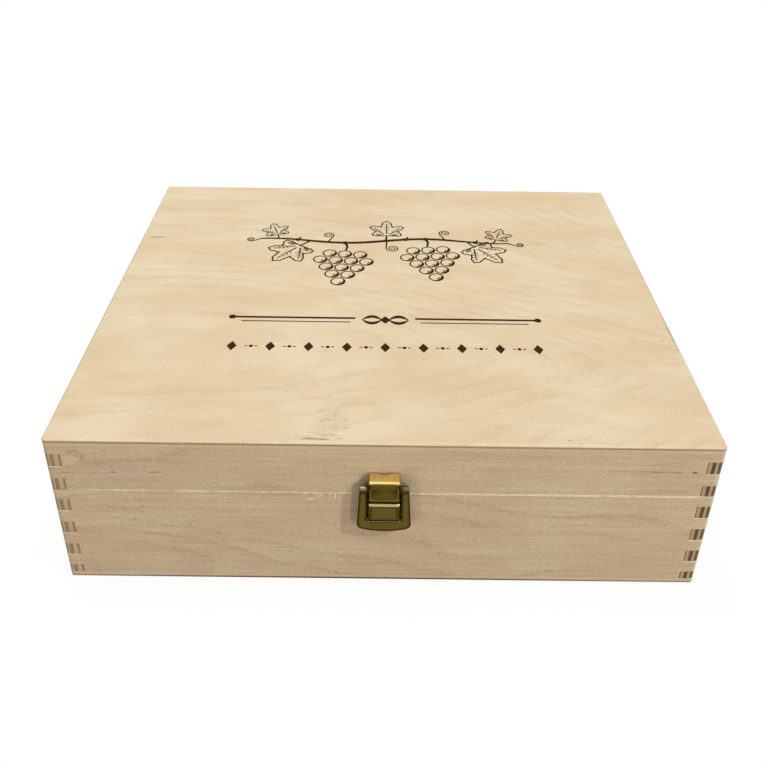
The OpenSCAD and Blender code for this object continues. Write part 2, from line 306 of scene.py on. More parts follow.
class TreeBuilder:
    """Base of the node groups and trees: makes each once and hands the same one out again."""

    name = ""
    kind = "ShaderNodeTree"
    inputs: Sequence[Tuple] = ()
    outputs: Sequence[Tuple] = ()

    def tree(self) -> bpy.types.NodeTree:
        """Builds the tree on the first call.

        Returns:
            The tree.
        """
        found = bpy.data.node_groups.get(self.name)
        if found:
            return found
        tree = bpy.data.node_groups.new(self.name, self.kind)
        for direction, sockets in (("INPUT", self.inputs), ("OUTPUT", self.outputs)):
            for label, kind, *default in sockets:
                socket = tree.interface.new_socket(label, in_out=direction, socket_type=kind)
                if default:
                    socket.default_value = default[0]
        graph = Graph(tree)
        source = graph.add("NodeGroupInput")
        graph.add("NodeGroupOutput", self.fill(graph, source.outputs))
        return tree

    def fill(self, graph: Graph, given: Sockets) -> Outputs:
        """Builds the tree's nodes from its inputs and returns its outputs by name."""
        raise NotImplementedError

    def use(self, graph: Graph, inputs: Dict[str, Value]) -> Sockets:
        """Adds the group to a material's graph, fed with these inputs, and returns its outputs."""
        return graph.add("ShaderNodeGroup", inputs, node_tree=self.tree()).outputs


FLOAT = "NodeSocketFloat"
VECTOR = "NodeSocketVector"
GEOMETRY = "NodeSocketGeometry"


@dataclass(frozen=True)
class GrainNoise:
    """One noise of a veneer's figure: its scales along and across the grain, and its shape."""

    along: float
    across: float
    shift: float = 0.0
    detail: float = 1.0
    roughness: float = 0.5

    def add(self, graph: Graph, parts: Sequence[Socket]) -> Socket:
        """Returns the noise over the places along, across and through the grain."""
        return graph.stretched(parts, (self.along, self.across, 1.0), self.shift, self.detail, self.roughness)


class WoodFigure(TreeBuilder):
    """Figure of a rotary-cut veneer in millimetres: blotches, contour lines, streaks, fibres and flecks.

    Arched bends the contour lines into nested arches, whose tips lie on the line Tip Across.
    """

    name = "WoodFigure"
    inputs = tuple((label, FLOAT, 0.0) for label in ("Along", "Across", "Slice", "Arched", "Tip Across"))
    outputs = tuple((label, FLOAT) for label in ("Blotch", "Contour", "Streak", "Fibre", "Grit", "Fleck"))
    half_length = 170.0
    lines_per_mm = 0.055
    arch_lines_per_mm = 0.072
    tip_radius = 6.0
    blotch = GrainNoise(0.016, 0.034, 0.0, 4.0, 0.6)
    wander = GrainNoise(0.0048, 0.0105, 4.0, 1.0, 0.4)
    ripple = GrainNoise(0.04, 0.09, 9.0, 2.0)
    streak = GrainNoise(0.010, 0.34, 23.0, 3.0, 0.6)
    fibre = GrainNoise(0.045, 1.9, 31.0, 3.0, 0.6)
    dash = GrainNoise(0.22, 1.5, 41.0)
    dot = GrainNoise(0.26, 0.42, 57.0)
    grit = GrainNoise(0.42, 1.25, 63.0, 2.0, 0.7)
    presence = GrainNoise(0.013, 0.03, 17.0)

    def fill(self, graph: Graph, given: Sockets) -> Outputs:
        """Builds the layers of the figure.

        Args:
            graph, given: the group's graph and inputs.

        Returns:
            The layers by name, each from 0 to 1.
        """
        parts = (given["Along"], given["Across"], given["Slice"])
        wander = self.wander.add(graph, parts)
        fibre = self.fibre.add(graph, parts)
        grit = self.grit.add(graph, parts)
        straight = graph.total(graph.times(given["Across"], self.lines_per_mm), graph.times(wander, 13.0))
        level = graph.total(
            graph.between(given["Arched"], straight, self._arches(graph, given, wander)),
            graph.times(self.ripple.add(graph, parts), 0.55), graph.times(fibre, 0.30))
        phase = graph.math("FRACT", level)
        rise = graph.math("POWER", phase, 4.0)
        fall = graph.ramp(phase, 0.86, 1.0, 1.0, 0.0)
        presence = graph.ramp(self.presence.add(graph, parts), 0.38, 0.6, 0.10)
        ragged = graph.ramp(graph.total(fibre, grit), 0.75, 1.2, 0.35, 1.15, smooth=False)
        dashes = graph.ramp(self.dash.add(graph, parts), 0.66, 0.8)
        dots = graph.ramp(self.dot.add(graph, parts), 0.745, 0.80)
        return {
            "Blotch": graph.ramp(self.blotch.add(graph, parts), 0.32, 0.68),
            "Contour": graph.times(rise, fall, presence, ragged),
            "Streak": graph.ramp(self.streak.add(graph, parts), 0.3, 0.7),
            "Fibre": graph.ramp(fibre, 0.28, 0.72, smooth=False),
            "Grit": graph.ramp(grit, 0.25, 0.75, smooth=False),
            "Fleck": graph.largest(dashes, dots),
        }

    def _arches(self, graph: Graph, given: Sockets, wander: Value) -> Value:
        """Builds the contour level of nested arches that point along the grain.

        Args:
            graph, given: the group's graph and inputs.
            wander: the noise that bends the arches.

        Returns:
            The level, of which each whole step is a contour line.
        """
        offset = graph.minus(given["Across"], given["Tip Across"])
        arm = graph.math("SQRT", graph.total(graph.times(offset, offset), self.tip_radius ** 2))
        along = graph.math("DIVIDE", graph.total(given["Along"], self.half_length), self.half_length)
        reach = graph.times(graph.math("POWER", graph.largest(along, 0.0), 2.0), 2.1)
        return graph.total(graph.times(arm, self.arch_lines_per_mm), reach, graph.times(wander, 5.0))


class PlyLayers(TreeBuilder):
    """Which ply a point lies in, from its depth under the outer face, and how near a glue line it is."""

    inputs = (("Depth", FLOAT, 0.0),)
    outputs = (("Index", FLOAT), ("Crossed", FLOAT), ("Glue", FLOAT))
    glue_line = (0.03, 0.16)

    def __init__(self, joints: Sequence[float]) -> None:
        """Takes the depths of the glue lines."""
        self.name = f"PlyLayers{len(joints) + 1}"
        self.joints = joints

    def fill(self, graph: Graph, given: Sockets) -> Outputs:
        """Counts the glue lines above the point.

        Args:
            graph, given: the group's graph and inputs.

        Returns:
            The ply's number, whether it runs crosswise, and how much glue the point shows.
        """
        index: Value = 0.0
        glue: Value = 0.0
        for joint in self.joints:
            index = graph.total(index, graph.math("GREATER_THAN", given["Depth"], joint))
            near = graph.size(graph.minus(given["Depth"], joint))
            glue = graph.largest(glue, graph.ramp(near, *self.glue_line, 1.0, 0.0))
        return {"Index": index, "Crossed": graph.math("MODULO", index, 2.0), "Glue": glue}


class Spot(TreeBuilder):
    """A soft round or stretched spot about a point, 1 in the middle and 0 at its rim."""

    name = "Spot"
    inputs = (("Position", VECTOR), ("Centre", VECTOR), ("Size", VECTOR), ("Core", FLOAT, 0.2),
              ("Ragged", FLOAT, 0.0))
    outputs = (("Mask", FLOAT), ("Distance", FLOAT))

    def fill(self, graph: Graph, given: Sockets) -> Outputs:
        """Measures the distance from the centre in units of the size.

        Args:
            graph, given: the group's graph and inputs.

        Returns:
            The spot, and the distance.
        """
        offset = graph.vector("SUBTRACT", given["Position"], given["Centre"])
        unit = graph.vector("DIVIDE", offset, given["Size"])
        rough = graph.minus(graph.noise(given["Position"], 1.3, 2.0), 0.5)
        reach = graph.total(graph.vector("LENGTH", unit), graph.times(rough, given["Ragged"]))
        return {"Mask": graph.ramp(reach, given["Core"], 1.0, 1.0, 0.0), "Distance": reach}


class MetalWear(TreeBuilder):
    """Wear of a small pressed metal piece.

    Edges and faces that look up get a painted highlight of the light from above, partly edge rubbing;
    other edges and faces that look down get painted shade, for the dark surroundings that they reflect;
    the rest has dull patches and faint scratches. The per-point input adds painted highlight of its own
    where the piece was made with it, and below 0 keeps a part dull.
    """

    name = "MetalWear"
    inputs = (("Position", VECTOR), ("Normal", VECTOR), ("Rub", FLOAT, 0.0), ("Edge Radius", FLOAT, 2.0 * MM))
    outputs = tuple((label, FLOAT) for label in ("Rubbed", "Soiled", "Patina", "Scratch"))

    def fill(self, graph: Graph, given: Sockets) -> Outputs:
        """Compares the rounded normal with the true one, and adds two noises.

        Args:
            graph, given: the group's graph and inputs.

        Returns:
            The masks of the wear, and of the painted highlight and shade, by name.
        """
        rounded = graph.add("ShaderNodeBevel", {"Radius": given["Edge Radius"]}, samples=8).outputs["Normal"]
        plain = graph.add("ShaderNodeNewGeometry").outputs["Normal"]
        edge = graph.ramp(graph.vector("DOT_PRODUCT", rounded, plain), 0.97, 0.9998, 1.0, 0.0)
        patina = graph.ramp(graph.noise(given["Position"], 0.35, 4.0, 0.6), 0.35, 0.7)
        scratch = graph.stretched(graph.separate(given["Position"]), (0.5, 0.5, 6.0), 3.0, 2.0, 0.6)
        _, _, up = graph.separate(given["Normal"])
        raised = graph.ramp(up, 0.2, 0.6)
        # Painted highlight of the light from above on faces and edges that look up, partly edge rubbing; the
        # per-point input adds more.
        rub_and_light_from_above = graph.largest(graph.times(edge, raised, 0.85), graph.ramp(up, 0.4, 0.95))
        kept = graph.math("ADD", given["Rub"], 1.0, clamp=True)
        pressed = graph.times(given["Rub"], graph.math("MULTIPLY_ADD", raised, 0.9, 0.1))
        # Painted shade on faces that look down and on the other rounded edges, for the dark surroundings that
        # they reflect.
        under = graph.ramp(up, -0.7, -0.2, 1.0, 0.0)
        clean = graph.ramp(given["Rub"], 0.0, 0.2, 1.0, 0.0)
        rim = graph.times(edge, graph.ramp(up, 0.0, 0.3, 1.0, 0.0), clean)
        return {
            "Rubbed": graph.largest(graph.times(rub_and_light_from_above, kept), pressed, clamp=True),
            "Soiled": graph.largest(rim, under),
            "Patina": patina,
            "Scratch": graph.ramp(scratch, 0.45, 0.75),
        }


# ---- finishes


@dataclass(frozen=True)
class WoodTones:
    """Linear colours of one plywood: pale and warm veneer, its darker figure, and its cut edges."""

    pale: Colour
    warm: Colour
    figure: Colour
    edge_long: Colour
    edge_end: Colour


@dataclass(frozen=True)
class FigureStrength:
    """How strongly each layer of the figure darkens the veneer."""

    contour: float
    streak: float
    fibre: float
    grit: float
    fleck: float


PANEL_TONES = WoodTones(
    pale=(0.875, 0.755, 0.535), warm=(0.81, 0.635, 0.40), figure=(0.50, 0.35, 0.19),
    edge_long=(0.70, 0.545, 0.36), edge_end=(0.38, 0.25, 0.13))
PANEL_FIGURE = FigureStrength(contour=0.36, streak=0.07, fibre=0.13, grit=0.20, fleck=0.36)
WALL_TONES = WoodTones(
    pale=(0.825, 0.70, 0.43), warm=(0.78, 0.57, 0.39), figure=(0.40, 0.265, 0.16),
    edge_long=(0.66, 0.50, 0.31), edge_end=(0.30, 0.195, 0.095))
DARK_END_TONES = replace(WALL_TONES, edge_long=(0.48, 0.32, 0.165), edge_end=(0.078, 0.036, 0.005))
WALL_FIGURE = FigureStrength(contour=0.40, streak=0.17, fibre=0.20, grit=0.42, fleck=0.50)
RAW_WOOD: Colour = (0.98, 0.86, 0.64)
# Raw sawn wood, also used as the painted highlight of the lit arris along the saw cut.
SAWN_WOOD_AND_HIGHLIGHT: Colour = (1.0, 0.90, 0.65)
PALE_WOOD: Colour = (0.75, 0.59, 0.37)


@dataclass(frozen=True)
class FingerSeams:
    """The seams of the finger joints, in millimetres: a finger's foot is a pale line of raw wood, its top a
    dark line of painted shadow.
    """

    first: float = 1.4
    pitch: float = 16.0
    height: float = 8.0
    lid_drop: float = 1.7
    pale_width: float = 0.65
    dark_width: float = 0.18
    reach: float = 0.1


@dataclass(frozen=True)
class SawnEdge:
    """The raw line along the saw cut, raw fibres and partly a painted highlight of the lit arris, in
    millimetres: bold right of the latch, broken on the left.
    """

    half_width: Point2 = (0.46, 0.75)
    latch_end: Point2 = (15.0, 60.0)
    left_end: Point2 = (12.0, 30.0)
    thinned: float = 0.16


@dataclass(frozen=True)
class Mark:
    """A mark on a wooden face, such as a knot, in the frame's millimetres.

    The colour is mixed in by strength where the spot is; rings adds that many rings to it, and
    dent is its depth as a share of the finish's bump.
    """

    centre: Point3
    size: Point3
    colour: Colour
    strength: float
    core: float = 0.2
    ragged: float = 0.5
    rings: float = 0.0
    dent: float = 0.0

    def add(self, graph: Graph, position: Value, colour: Value, height: Value) -> Tuple[Value, Value]:
        """Adds the mark to a wooden face.

        Args:
            graph, position: the finish's graph, and the place in millimetres.
            colour, height: the wood's colour and height.

        Returns:
            The colour and the height with the mark.
        """
        spot = Spot().use(graph, {
            "Position": position, "Centre": self.centre, "Size": self.size, "Core": self.core,
            "Ragged": self.ragged})
        mask = graph.times(spot["Mask"], self.strength)
        if self.rings:
            wave = graph.math("SINE", graph.times(spot["Distance"], self.rings * math.tau))
            mask = graph.times(mask, graph.ramp(wave, -0.6, 0.9, 0.08, 1.0))
        if self.dent:
            height = graph.math("MULTIPLY_ADD", spot["Mask"], -self.dent, height)
        return graph.blend(mask, colour, self.colour), height


@dataclass(frozen=True)
class PlywoodFinish:
    """A plywood board as a solid material, cut from plies whose grain runs crosswise by turns."""

    name: str
    along: Axis
    across: Axis
    through: Axis
    outer_face: float
    inward: float
    joints: Tuple[float, ...]
    tones: WoodTones
    strength: FigureStrength
    seed: float
    marks: Tuple[Mark, ...] = ()
    seams: Optional[FingerSeams] = None
    arches_at: Optional[float] = None
    ply_shift: float = 11.7

    def build(self) -> Material:
        """Builds the solid plywood: its plies, figure, cut edges, seams and marks.

        Returns:
            The material.
        """
        material, graph = new_material(self.name)
        position, normal = graph.place()
        axes = [axis.value for axis in (self.along, self.across, self.through)]
        along, across, through = (graph.vector("DOT_PRODUCT", position, axis) for axis in axes)
        facing = [graph.size(graph.vector("DOT_PRODUCT", normal, axis)) for axis in axes]
        depth = graph.times(graph.minus(through, self.outer_face), self.inward)
        layers = PlyLayers(self.joints).use(graph, {"Depth": depth})
        crossed = layers["Crossed"]
        ply_across = graph.between(crossed, across, along)
        ply = graph.math("MULTIPLY_ADD", layers["Index"], self.ply_shift, self.seed)
        figure = WoodFigure().use(graph, {
            "Along": graph.between(crossed, along, across), "Across": graph.total(ply_across, depth),
            "Slice": ply, "Arched": 0.0 if self.arches_at is None else 1.0,
            "Tip Across": self.arches_at or 0.0})
        end = graph.ramp(graph.between(crossed, facing[0], facing[1]), 0.6, 0.8)
        edge = graph.ramp(facing[2], 0.45, 0.75, 1.0, 0.0)
        pores = graph.stretched((ply_across, depth, ply), (1.8, 2.6, 1.0), 5.0, 3.0, 0.6)
        bands = graph.stretched((ply_across, depth, ply), (0.10, 1.6, 1.0), 2.0, 2.0, 0.5)
        colour = graph.blend(figure["Blotch"], self.tones.pale, self.tones.warm)
        colour = graph.blend(graph.times(edge, 0.8), colour, self.tones.edge_long)
        dark = graph.total(*(
            graph.times(figure[layer.title()], share) for layer, share in asdict(self.strength).items()))
        colour = graph.blend(dark, colour, self.tones.figure)
        colour = graph.blend(end, colour, self._end_grain(graph, pores, bands))
        colour = graph.blend(graph.times(layers["Glue"], edge, 0.45), colour, self.tones.edge_end)
        height = graph.total(
            graph.times(figure["Fibre"], 0.55), graph.times(figure["Streak"], 0.35),
            graph.times(figure["Fleck"], -0.8), graph.times(end, pores, 0.8))
        # Rounded edges are lightened with raw wood: sanded wood, and partly a painted highlight where they
        # turn to the light.
        flattest = graph.largest(facing[2], graph.largest(facing[0], facing[1]))
        arris_sanding_and_highlight = graph.ramp(flattest, 0.80, 0.985, 1.0, 0.0)
        colour = graph.blend(graph.times(arris_sanding_and_highlight, 0.12), colour, RAW_WOOD)
        if self.seams:
            _, _, up = graph.separate(normal)
            colour = self._seamed(graph, position, colour, self.seams)
            colour = self._sawn(graph, position, graph.size(up), colour, SawnEdge())
        for mark in self.marks:
            colour, height = mark.add(graph, position, colour, height)
        graph.surface({
            "Base Color": colour,
            "Roughness": graph.ramp(graph.total(figure["Fibre"], figure["Streak"]), 0.2, 1.8, 0.66, 0.54),
            "Normal": graph.bump(height, 0.35, 0.06), "IOR": 1.45, "Specular IOR Level": 0.35})
        return material

    def _end_grain(self, graph: Graph, pores: Value, bands: Value) -> Socket:
        """Returns the colour of the end grain, from the noises of its pores and growth bands."""
        colour = graph.blend(graph.ramp(pores, 0.45, 0.8), self.tones.edge_end, self.tones.edge_long)
        return graph.blend(graph.ramp(bands, 0.35, 0.65, 0.75, 0.2), colour, self.tones.edge_end)

    def _seamed(self, graph: Graph, position: Value, colour: Value, seams: FingerSeams) -> Socket:
        """Adds the finger joints' seams at the upright corners: a pale line, and a dark line of painted
        shadow.

        Args:
            graph, position: the finish's graph, and the place in millimetres.
            colour, seams: the wood's colour, and the seams' sizes.

        Returns:
            The colour with the seams.
        """
        x, y, z = graph.separate(position)
        corner = graph.times(*(
            graph.math("GREATER_THAN", graph.size(place), face - SIZES.wall - seams.reach)
            for place, face in ((x, SIZES.right), (y, SIZES.back))))
        drop = graph.times(graph.math("GREATER_THAN", z, SIZES.saw_z), seams.lid_drop)
        rough = graph.times(graph.minus(graph.noise(position, 0.9, 2.0), 0.5), 0.4)
        rise = graph.total(z, drop, rough, -seams.first)
        below = graph.times(graph.math("FRACT", graph.math("DIVIDE", rise, -seams.pitch)), seams.pitch)
        pale = graph.ramp(below, seams.pale_width * 0.5, seams.pale_width, 1.0, 0.0)
        over = graph.size(graph.minus(below, seams.pitch - seams.height))
        dark = graph.ramp(over, seams.dark_width, seams.dark_width * 2.5, 1.0, 0.0)
        colour = graph.blend(graph.times(corner, pale, 0.9), colour, RAW_WOOD)
        # Painted shadow: a dark line at each finger's top.
        return graph.blend(graph.times(corner, dark, 0.15), colour, self.tones.edge_end)

    def _sawn(self, graph: Graph, position: Value, facing_up: Value, colour: Value, sawn: SawnEdge) -> Socket:
        """Adds a thin line of raw fibres along the saw cut, partly a painted highlight of the lit arris,
        broken up on the left.

        Args:
            graph, position: the finish's graph, and the place in millimetres.
            facing_up: how far the face looks up or down.
            colour: the wood's colour.
            sawn: the line's sizes.

        Returns:
            The colour with the line.
        """
        x, y, z = graph.separate(position)
        ragged = graph.times(graph.minus(graph.stretched((x, y, z), (0.5, 0.5, 0.1)), 0.5), 0.5)
        gap = graph.size(graph.minus(z, SIZES.saw_z))
        thin = graph.ramp(x, *sawn.latch_end, sawn.thinned, 0.0)
        line = graph.ramp(graph.total(gap, ragged, thin), *sawn.half_width, 1.0, 0.0)
        broken = graph.ramp(graph.stretched((x, y, z), (0.06, 0.06, 0.0), 3.0, 2.0), 0.38, 0.55, 0.35, 1.0)
        whole = graph.ramp(x, *sawn.latch_end, 0.0, 0.95)
        closed = graph.ramp(x, *(SIZES.left + end for end in sawn.left_end), 0.15, 1.0)
        beside = graph.ramp(facing_up, 0.90, 0.97, 1.0, 0.0)
        share = graph.times(line, graph.largest(broken, whole), closed, beside)
        return graph.blend(share, colour, SAWN_WOOD_AND_HIGHLIGHT)


@dataclass(frozen=True)
class BrassFinish:
    """Brass with a dark skin, a painted highlight where it faces up, partly rubbing, and painted shade along
    its other edges and where it faces down.
    """

    name: str
    # Dark brass, partly a painted reflection of dark surroundings in the front faces.
    skin: Colour
    # Colour of the painted highlight, partly rubbed brass.
    rubbed: Colour
    roughness: float
    # Strength of the painted highlight, partly rubbing.
    rub: float = 1.0
    # Painted shade: its strength, the sides beyond which it also lies, and its colour.
    soil: float = 0.95
    soiled_beyond: Optional[float] = None
    grime: Colour = (0.022, 0.013, 0.003)
    edge_tint: Colour = (0.50, 0.40, 0.22)

    def build(self) -> Material:
        """Builds the metal over its wear, its painted highlight and its painted shade.

        Returns:
            The material.
        """
        material, graph = new_material(self.name)
        position, normal = graph.place()
        # The per-point painted highlight, partly rubbing.
        pressed = graph.add("ShaderNodeAttribute", attribute_name=RUB_AND_HIGHLIGHT).outputs["Fac"]
        wear = MetalWear().use(graph, {"Position": position, "Normal": normal, "Rub": pressed})
        # Share of the painted highlight colour, partly rubbing, with a little of the dull patches.
        share = graph.math("MULTIPLY_ADD", wear["Rubbed"], self.rub, graph.times(wear["Patina"], 0.03),
                           clamp=True)
        # Painted shade on edges and on faces that look down, and on the sides beyond a set distance from the
        # middle.
        shade_mask = graph.times(wear["Soiled"], self.soil)
        if self.soiled_beyond is not None:
            side = graph.minus(graph.size(graph.separate(position)[0]), self.soiled_beyond)
            shade_mask = graph.largest(shade_mask, graph.ramp(side, 0.0, 0.3, 0.0, 0.8))
        graph.surface({
            "Base Color": graph.blend(shade_mask, graph.blend(share, self.skin, self.rubbed), self.grime),
            "Metallic": 1.0,
            "Roughness": graph.total(
                graph.times(wear["Patina"], 0.08), graph.times(wear["Scratch"], 0.06),
                graph.times(share, -0.08), self.roughness),
            "Normal": graph.bump(graph.noise(position, 0.9, 2.0), 0.1, 0.02),
            "Specular Tint": self.edge_tint})
        return material


@dataclass(frozen=True)
class FibreFinish:
    """Pale raw wood of torn fibres."""

    name: str
    colour: Colour

    def build(self) -> Material:
        """Builds the finish.

        Returns:
            The material.
        """
        material, graph = new_material(self.name)
        graph.surface({"Base Color": self.colour, "Roughness": 0.8, "Specular IOR Level": 0.2})
        return material


@dataclass(frozen=True)
class InkFinish:
    """Burnt brown print that has sunk into the wood, so the grain shows through it a little."""

    name: str
    colour: Colour
    worn: Colour
    seed: float

    def build(self) -> Material:
        """Builds the print's colour over the wood's figure.

        Returns:
            The material.
        """
        material, graph = new_material(self.name)
        position, _ = graph.place()
        x, y, _ = graph.separate(position)
        figure = WoodFigure().use(graph, {"Along": x, "Across": y, "Slice": self.seed})
        thin = graph.total(graph.times(figure["Fibre"], 0.30), graph.times(figure["Streak"], 0.12))
        graph.surface({
            "Base Color": graph.blend(thin, self.colour, self.worn), "Roughness": 0.8,
            "Normal": graph.bump(figure["Fibre"], 0.3, 0.05), "Specular IOR Level": 0.05})
        return material


# ---- mesh helpers


SAME_POINT = 1e-6
FLAT_FACES = math.radians(0.6)


def plain_object(name: str, data: bpy.types.ID) -> Object:
    """Links new data to the scene as an object at the origin.

    Args:
        name: the object's name.
        data: its mesh, curve, lamp or camera.

    Returns:
        The object.
    """
    obj = bpy.data.objects.new(name, data)
    bpy.context.scene.collection.objects.link(obj)
    return obj


def evaluated_mesh(obj: Object) -> Mesh:
    """Returns a new mesh of an object as its modifiers or its curve make it."""
    return bpy.data.meshes.new_from_object(obj.evaluated_get(bpy.context.evaluated_depsgraph_get()))


def applied(obj: Object) -> Object:
    """Puts the result of an object's modifiers into its mesh.

    Args:
        obj: the object, whose modifiers are removed.

    Returns:
        The same object, holding one plain mesh.
    """
    mesh, old = evaluated_mesh(obj), obj.data
    obj.modifiers.clear()
    obj.data = mesh
    if old.users == 0:
        bpy.data.meshes.remove(old)
    mesh.name = obj.name
    return obj


def mesh_from(solid: BMesh, name: str) -> Mesh:
    """Turns a shape under construction into a mesh.

    Args:
        solid: the shape, which is freed.
        name: the mesh's name.

    Returns:
        The mesh.
    """
    mesh = bpy.data.meshes.new(name)
    solid.to_mesh(mesh)
    solid.free()
    return mesh


def closed_mesh(solid: BMesh, name: str) -> Mesh:
    """Returns the mesh of a closed shape, with its faces outward."""
    bmesh.ops.recalc_face_normals(solid, faces=solid.faces)
    return mesh_from(solid, name)


def bridge(solid: BMesh, rows: Sequence[Sequence[bmesh.types.BMVert]]) -> None:
    """Joins rings of points with faces.

    Args:
        solid: the shape.
        rows: the rings in order; one with a single point is a pole.
    """
    for low, high in zip(rows, rows[1:]):
        count = max(len(low), len(high))
        for k in range(count):
            corners = (low[k % len(low)], low[(k + 1) % count % len(low)],
                       high[(k + 1) % count % len(high)], high[k % len(high)])
            solid.faces.new(list(dict.fromkeys(corners)))


def spread(start: float, end: float, steps: int) -> List[float]:
    """Returns steps + 1 even values from start to end."""
    return [start + (end - start) * k / steps for k in range(steps + 1)]


def arc(centre: Point2, radius: float, start: float, end: float, steps: int) -> List[Point2]:
    """Returns steps + 1 points on an arc between two angles in radians."""
    return [(centre[0] + radius * math.cos(a), centre[1] + radius * math.sin(a))
            for a in spread(start, end, steps)]


def circle(centre: Point2, radius: float, steps: int) -> List[Point2]:
    """Returns the points of a whole circle, counter-clockwise."""
    return arc(centre, radius, 0.0, math.tau, steps)[:-1]


def turned(root: Point2, u: float, v: float, angle: float) -> Point2:
    """Returns a point that lies u ahead of a root and v beside it, turned by an angle in radians."""
    return (root[0] + u * math.cos(angle) - v * math.sin(angle),
            root[1] + u * math.sin(angle) + v * math.cos(angle))


def body_of(node: str) -> str:
    """Returns the body that a node rides on."""
    groups = frame["record"]["behaviour"]["bodies"]
    return next(body for body, members in groups.items() if node in members)


def finish_piece(obj: Object, material: Material, body: str, slot: str, *replaced: str) -> Object:
    """Dresses a piece and reports it.

    Args:
        obj, material: the piece and its material.
        body, slot: the body that it rides on; the slot is not used.
        replaced: the nodes that it stands for, which are hidden.

    Returns:
        The same piece.
    """
    obj.data.materials.clear()
    obj.data.materials.append(material)
    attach(obj, body)
    if replaced:
        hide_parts(*replaced)
    LOG.info("piece %s: %d faces", obj.name, len(obj.data.polygons))
    return obj


def shade(obj: Object, smooth_below: Optional[float] = None) -> None:
    """Shades a piece flat, or smooth over edges below an angle.

    Args:
        obj: the piece.
        smooth_below: the angle in degrees, or None for flat faces.
    """
    if smooth_below is None:
        obj.data.shade_flat()
    else:
        obj.data.shade_smooth()
        obj.data.set_sharp_from_angle(angle=math.radians(smooth_below))


@dataclass(frozen=True)
class Easing:
    """How a copied node's edges are eased, in millimetres and degrees, and its faces shaded."""

    width: float
    segments: int = 2
    sharp_above: float = 30.0
    smooth_below: Optional[float] = None


def eased_copy(node: str, name: str, easing: Easing) -> Object:
    """Copies a node's solid with its flat faces whole again and its sharp edges eased.

    Args:
        node, name: the node's name and the new object's.
        easing: the width and shape of the eased edges.

    Returns:
        The new object.
    """
    mesh = frame["nodes"][node].data.copy()
    solid = bmesh.new()
    solid.from_mesh(mesh)
    bmesh.ops.remove_doubles(solid, verts=solid.verts, dist=SAME_POINT)
    bmesh.ops.dissolve_limit(
        solid, angle_limit=FLAT_FACES, use_dissolve_boundaries=False, verts=solid.verts, edges=solid.edges)
    for edge in solid.edges:
        edge.smooth = True
    solid.to_mesh(mesh)
    solid.free()
    obj = plain_object(name, mesh)
    bevel = obj.modifiers.new("ease", "BEVEL")
    bevel.width = easing.width * MM
    bevel.segments = easing.segments
    bevel.limit_method = "ANGLE"
    bevel.angle_limit = math.radians(easing.sharp_above)
    bevel.use_clamp_overlap = True
    shade(applied(obj), easing.smooth_below)
    return obj


def dressed_copy(node: str, ending: str, easing: Easing, material: Material, slot: str) -> Object:
    """Returns the piece that stands for a node and is named after it: its eased copy, in a material."""
    return finish_piece(eased_copy(node, f"{node}_{ending}", easing), material, body_of(node), slot, node)


# ---- the box shell


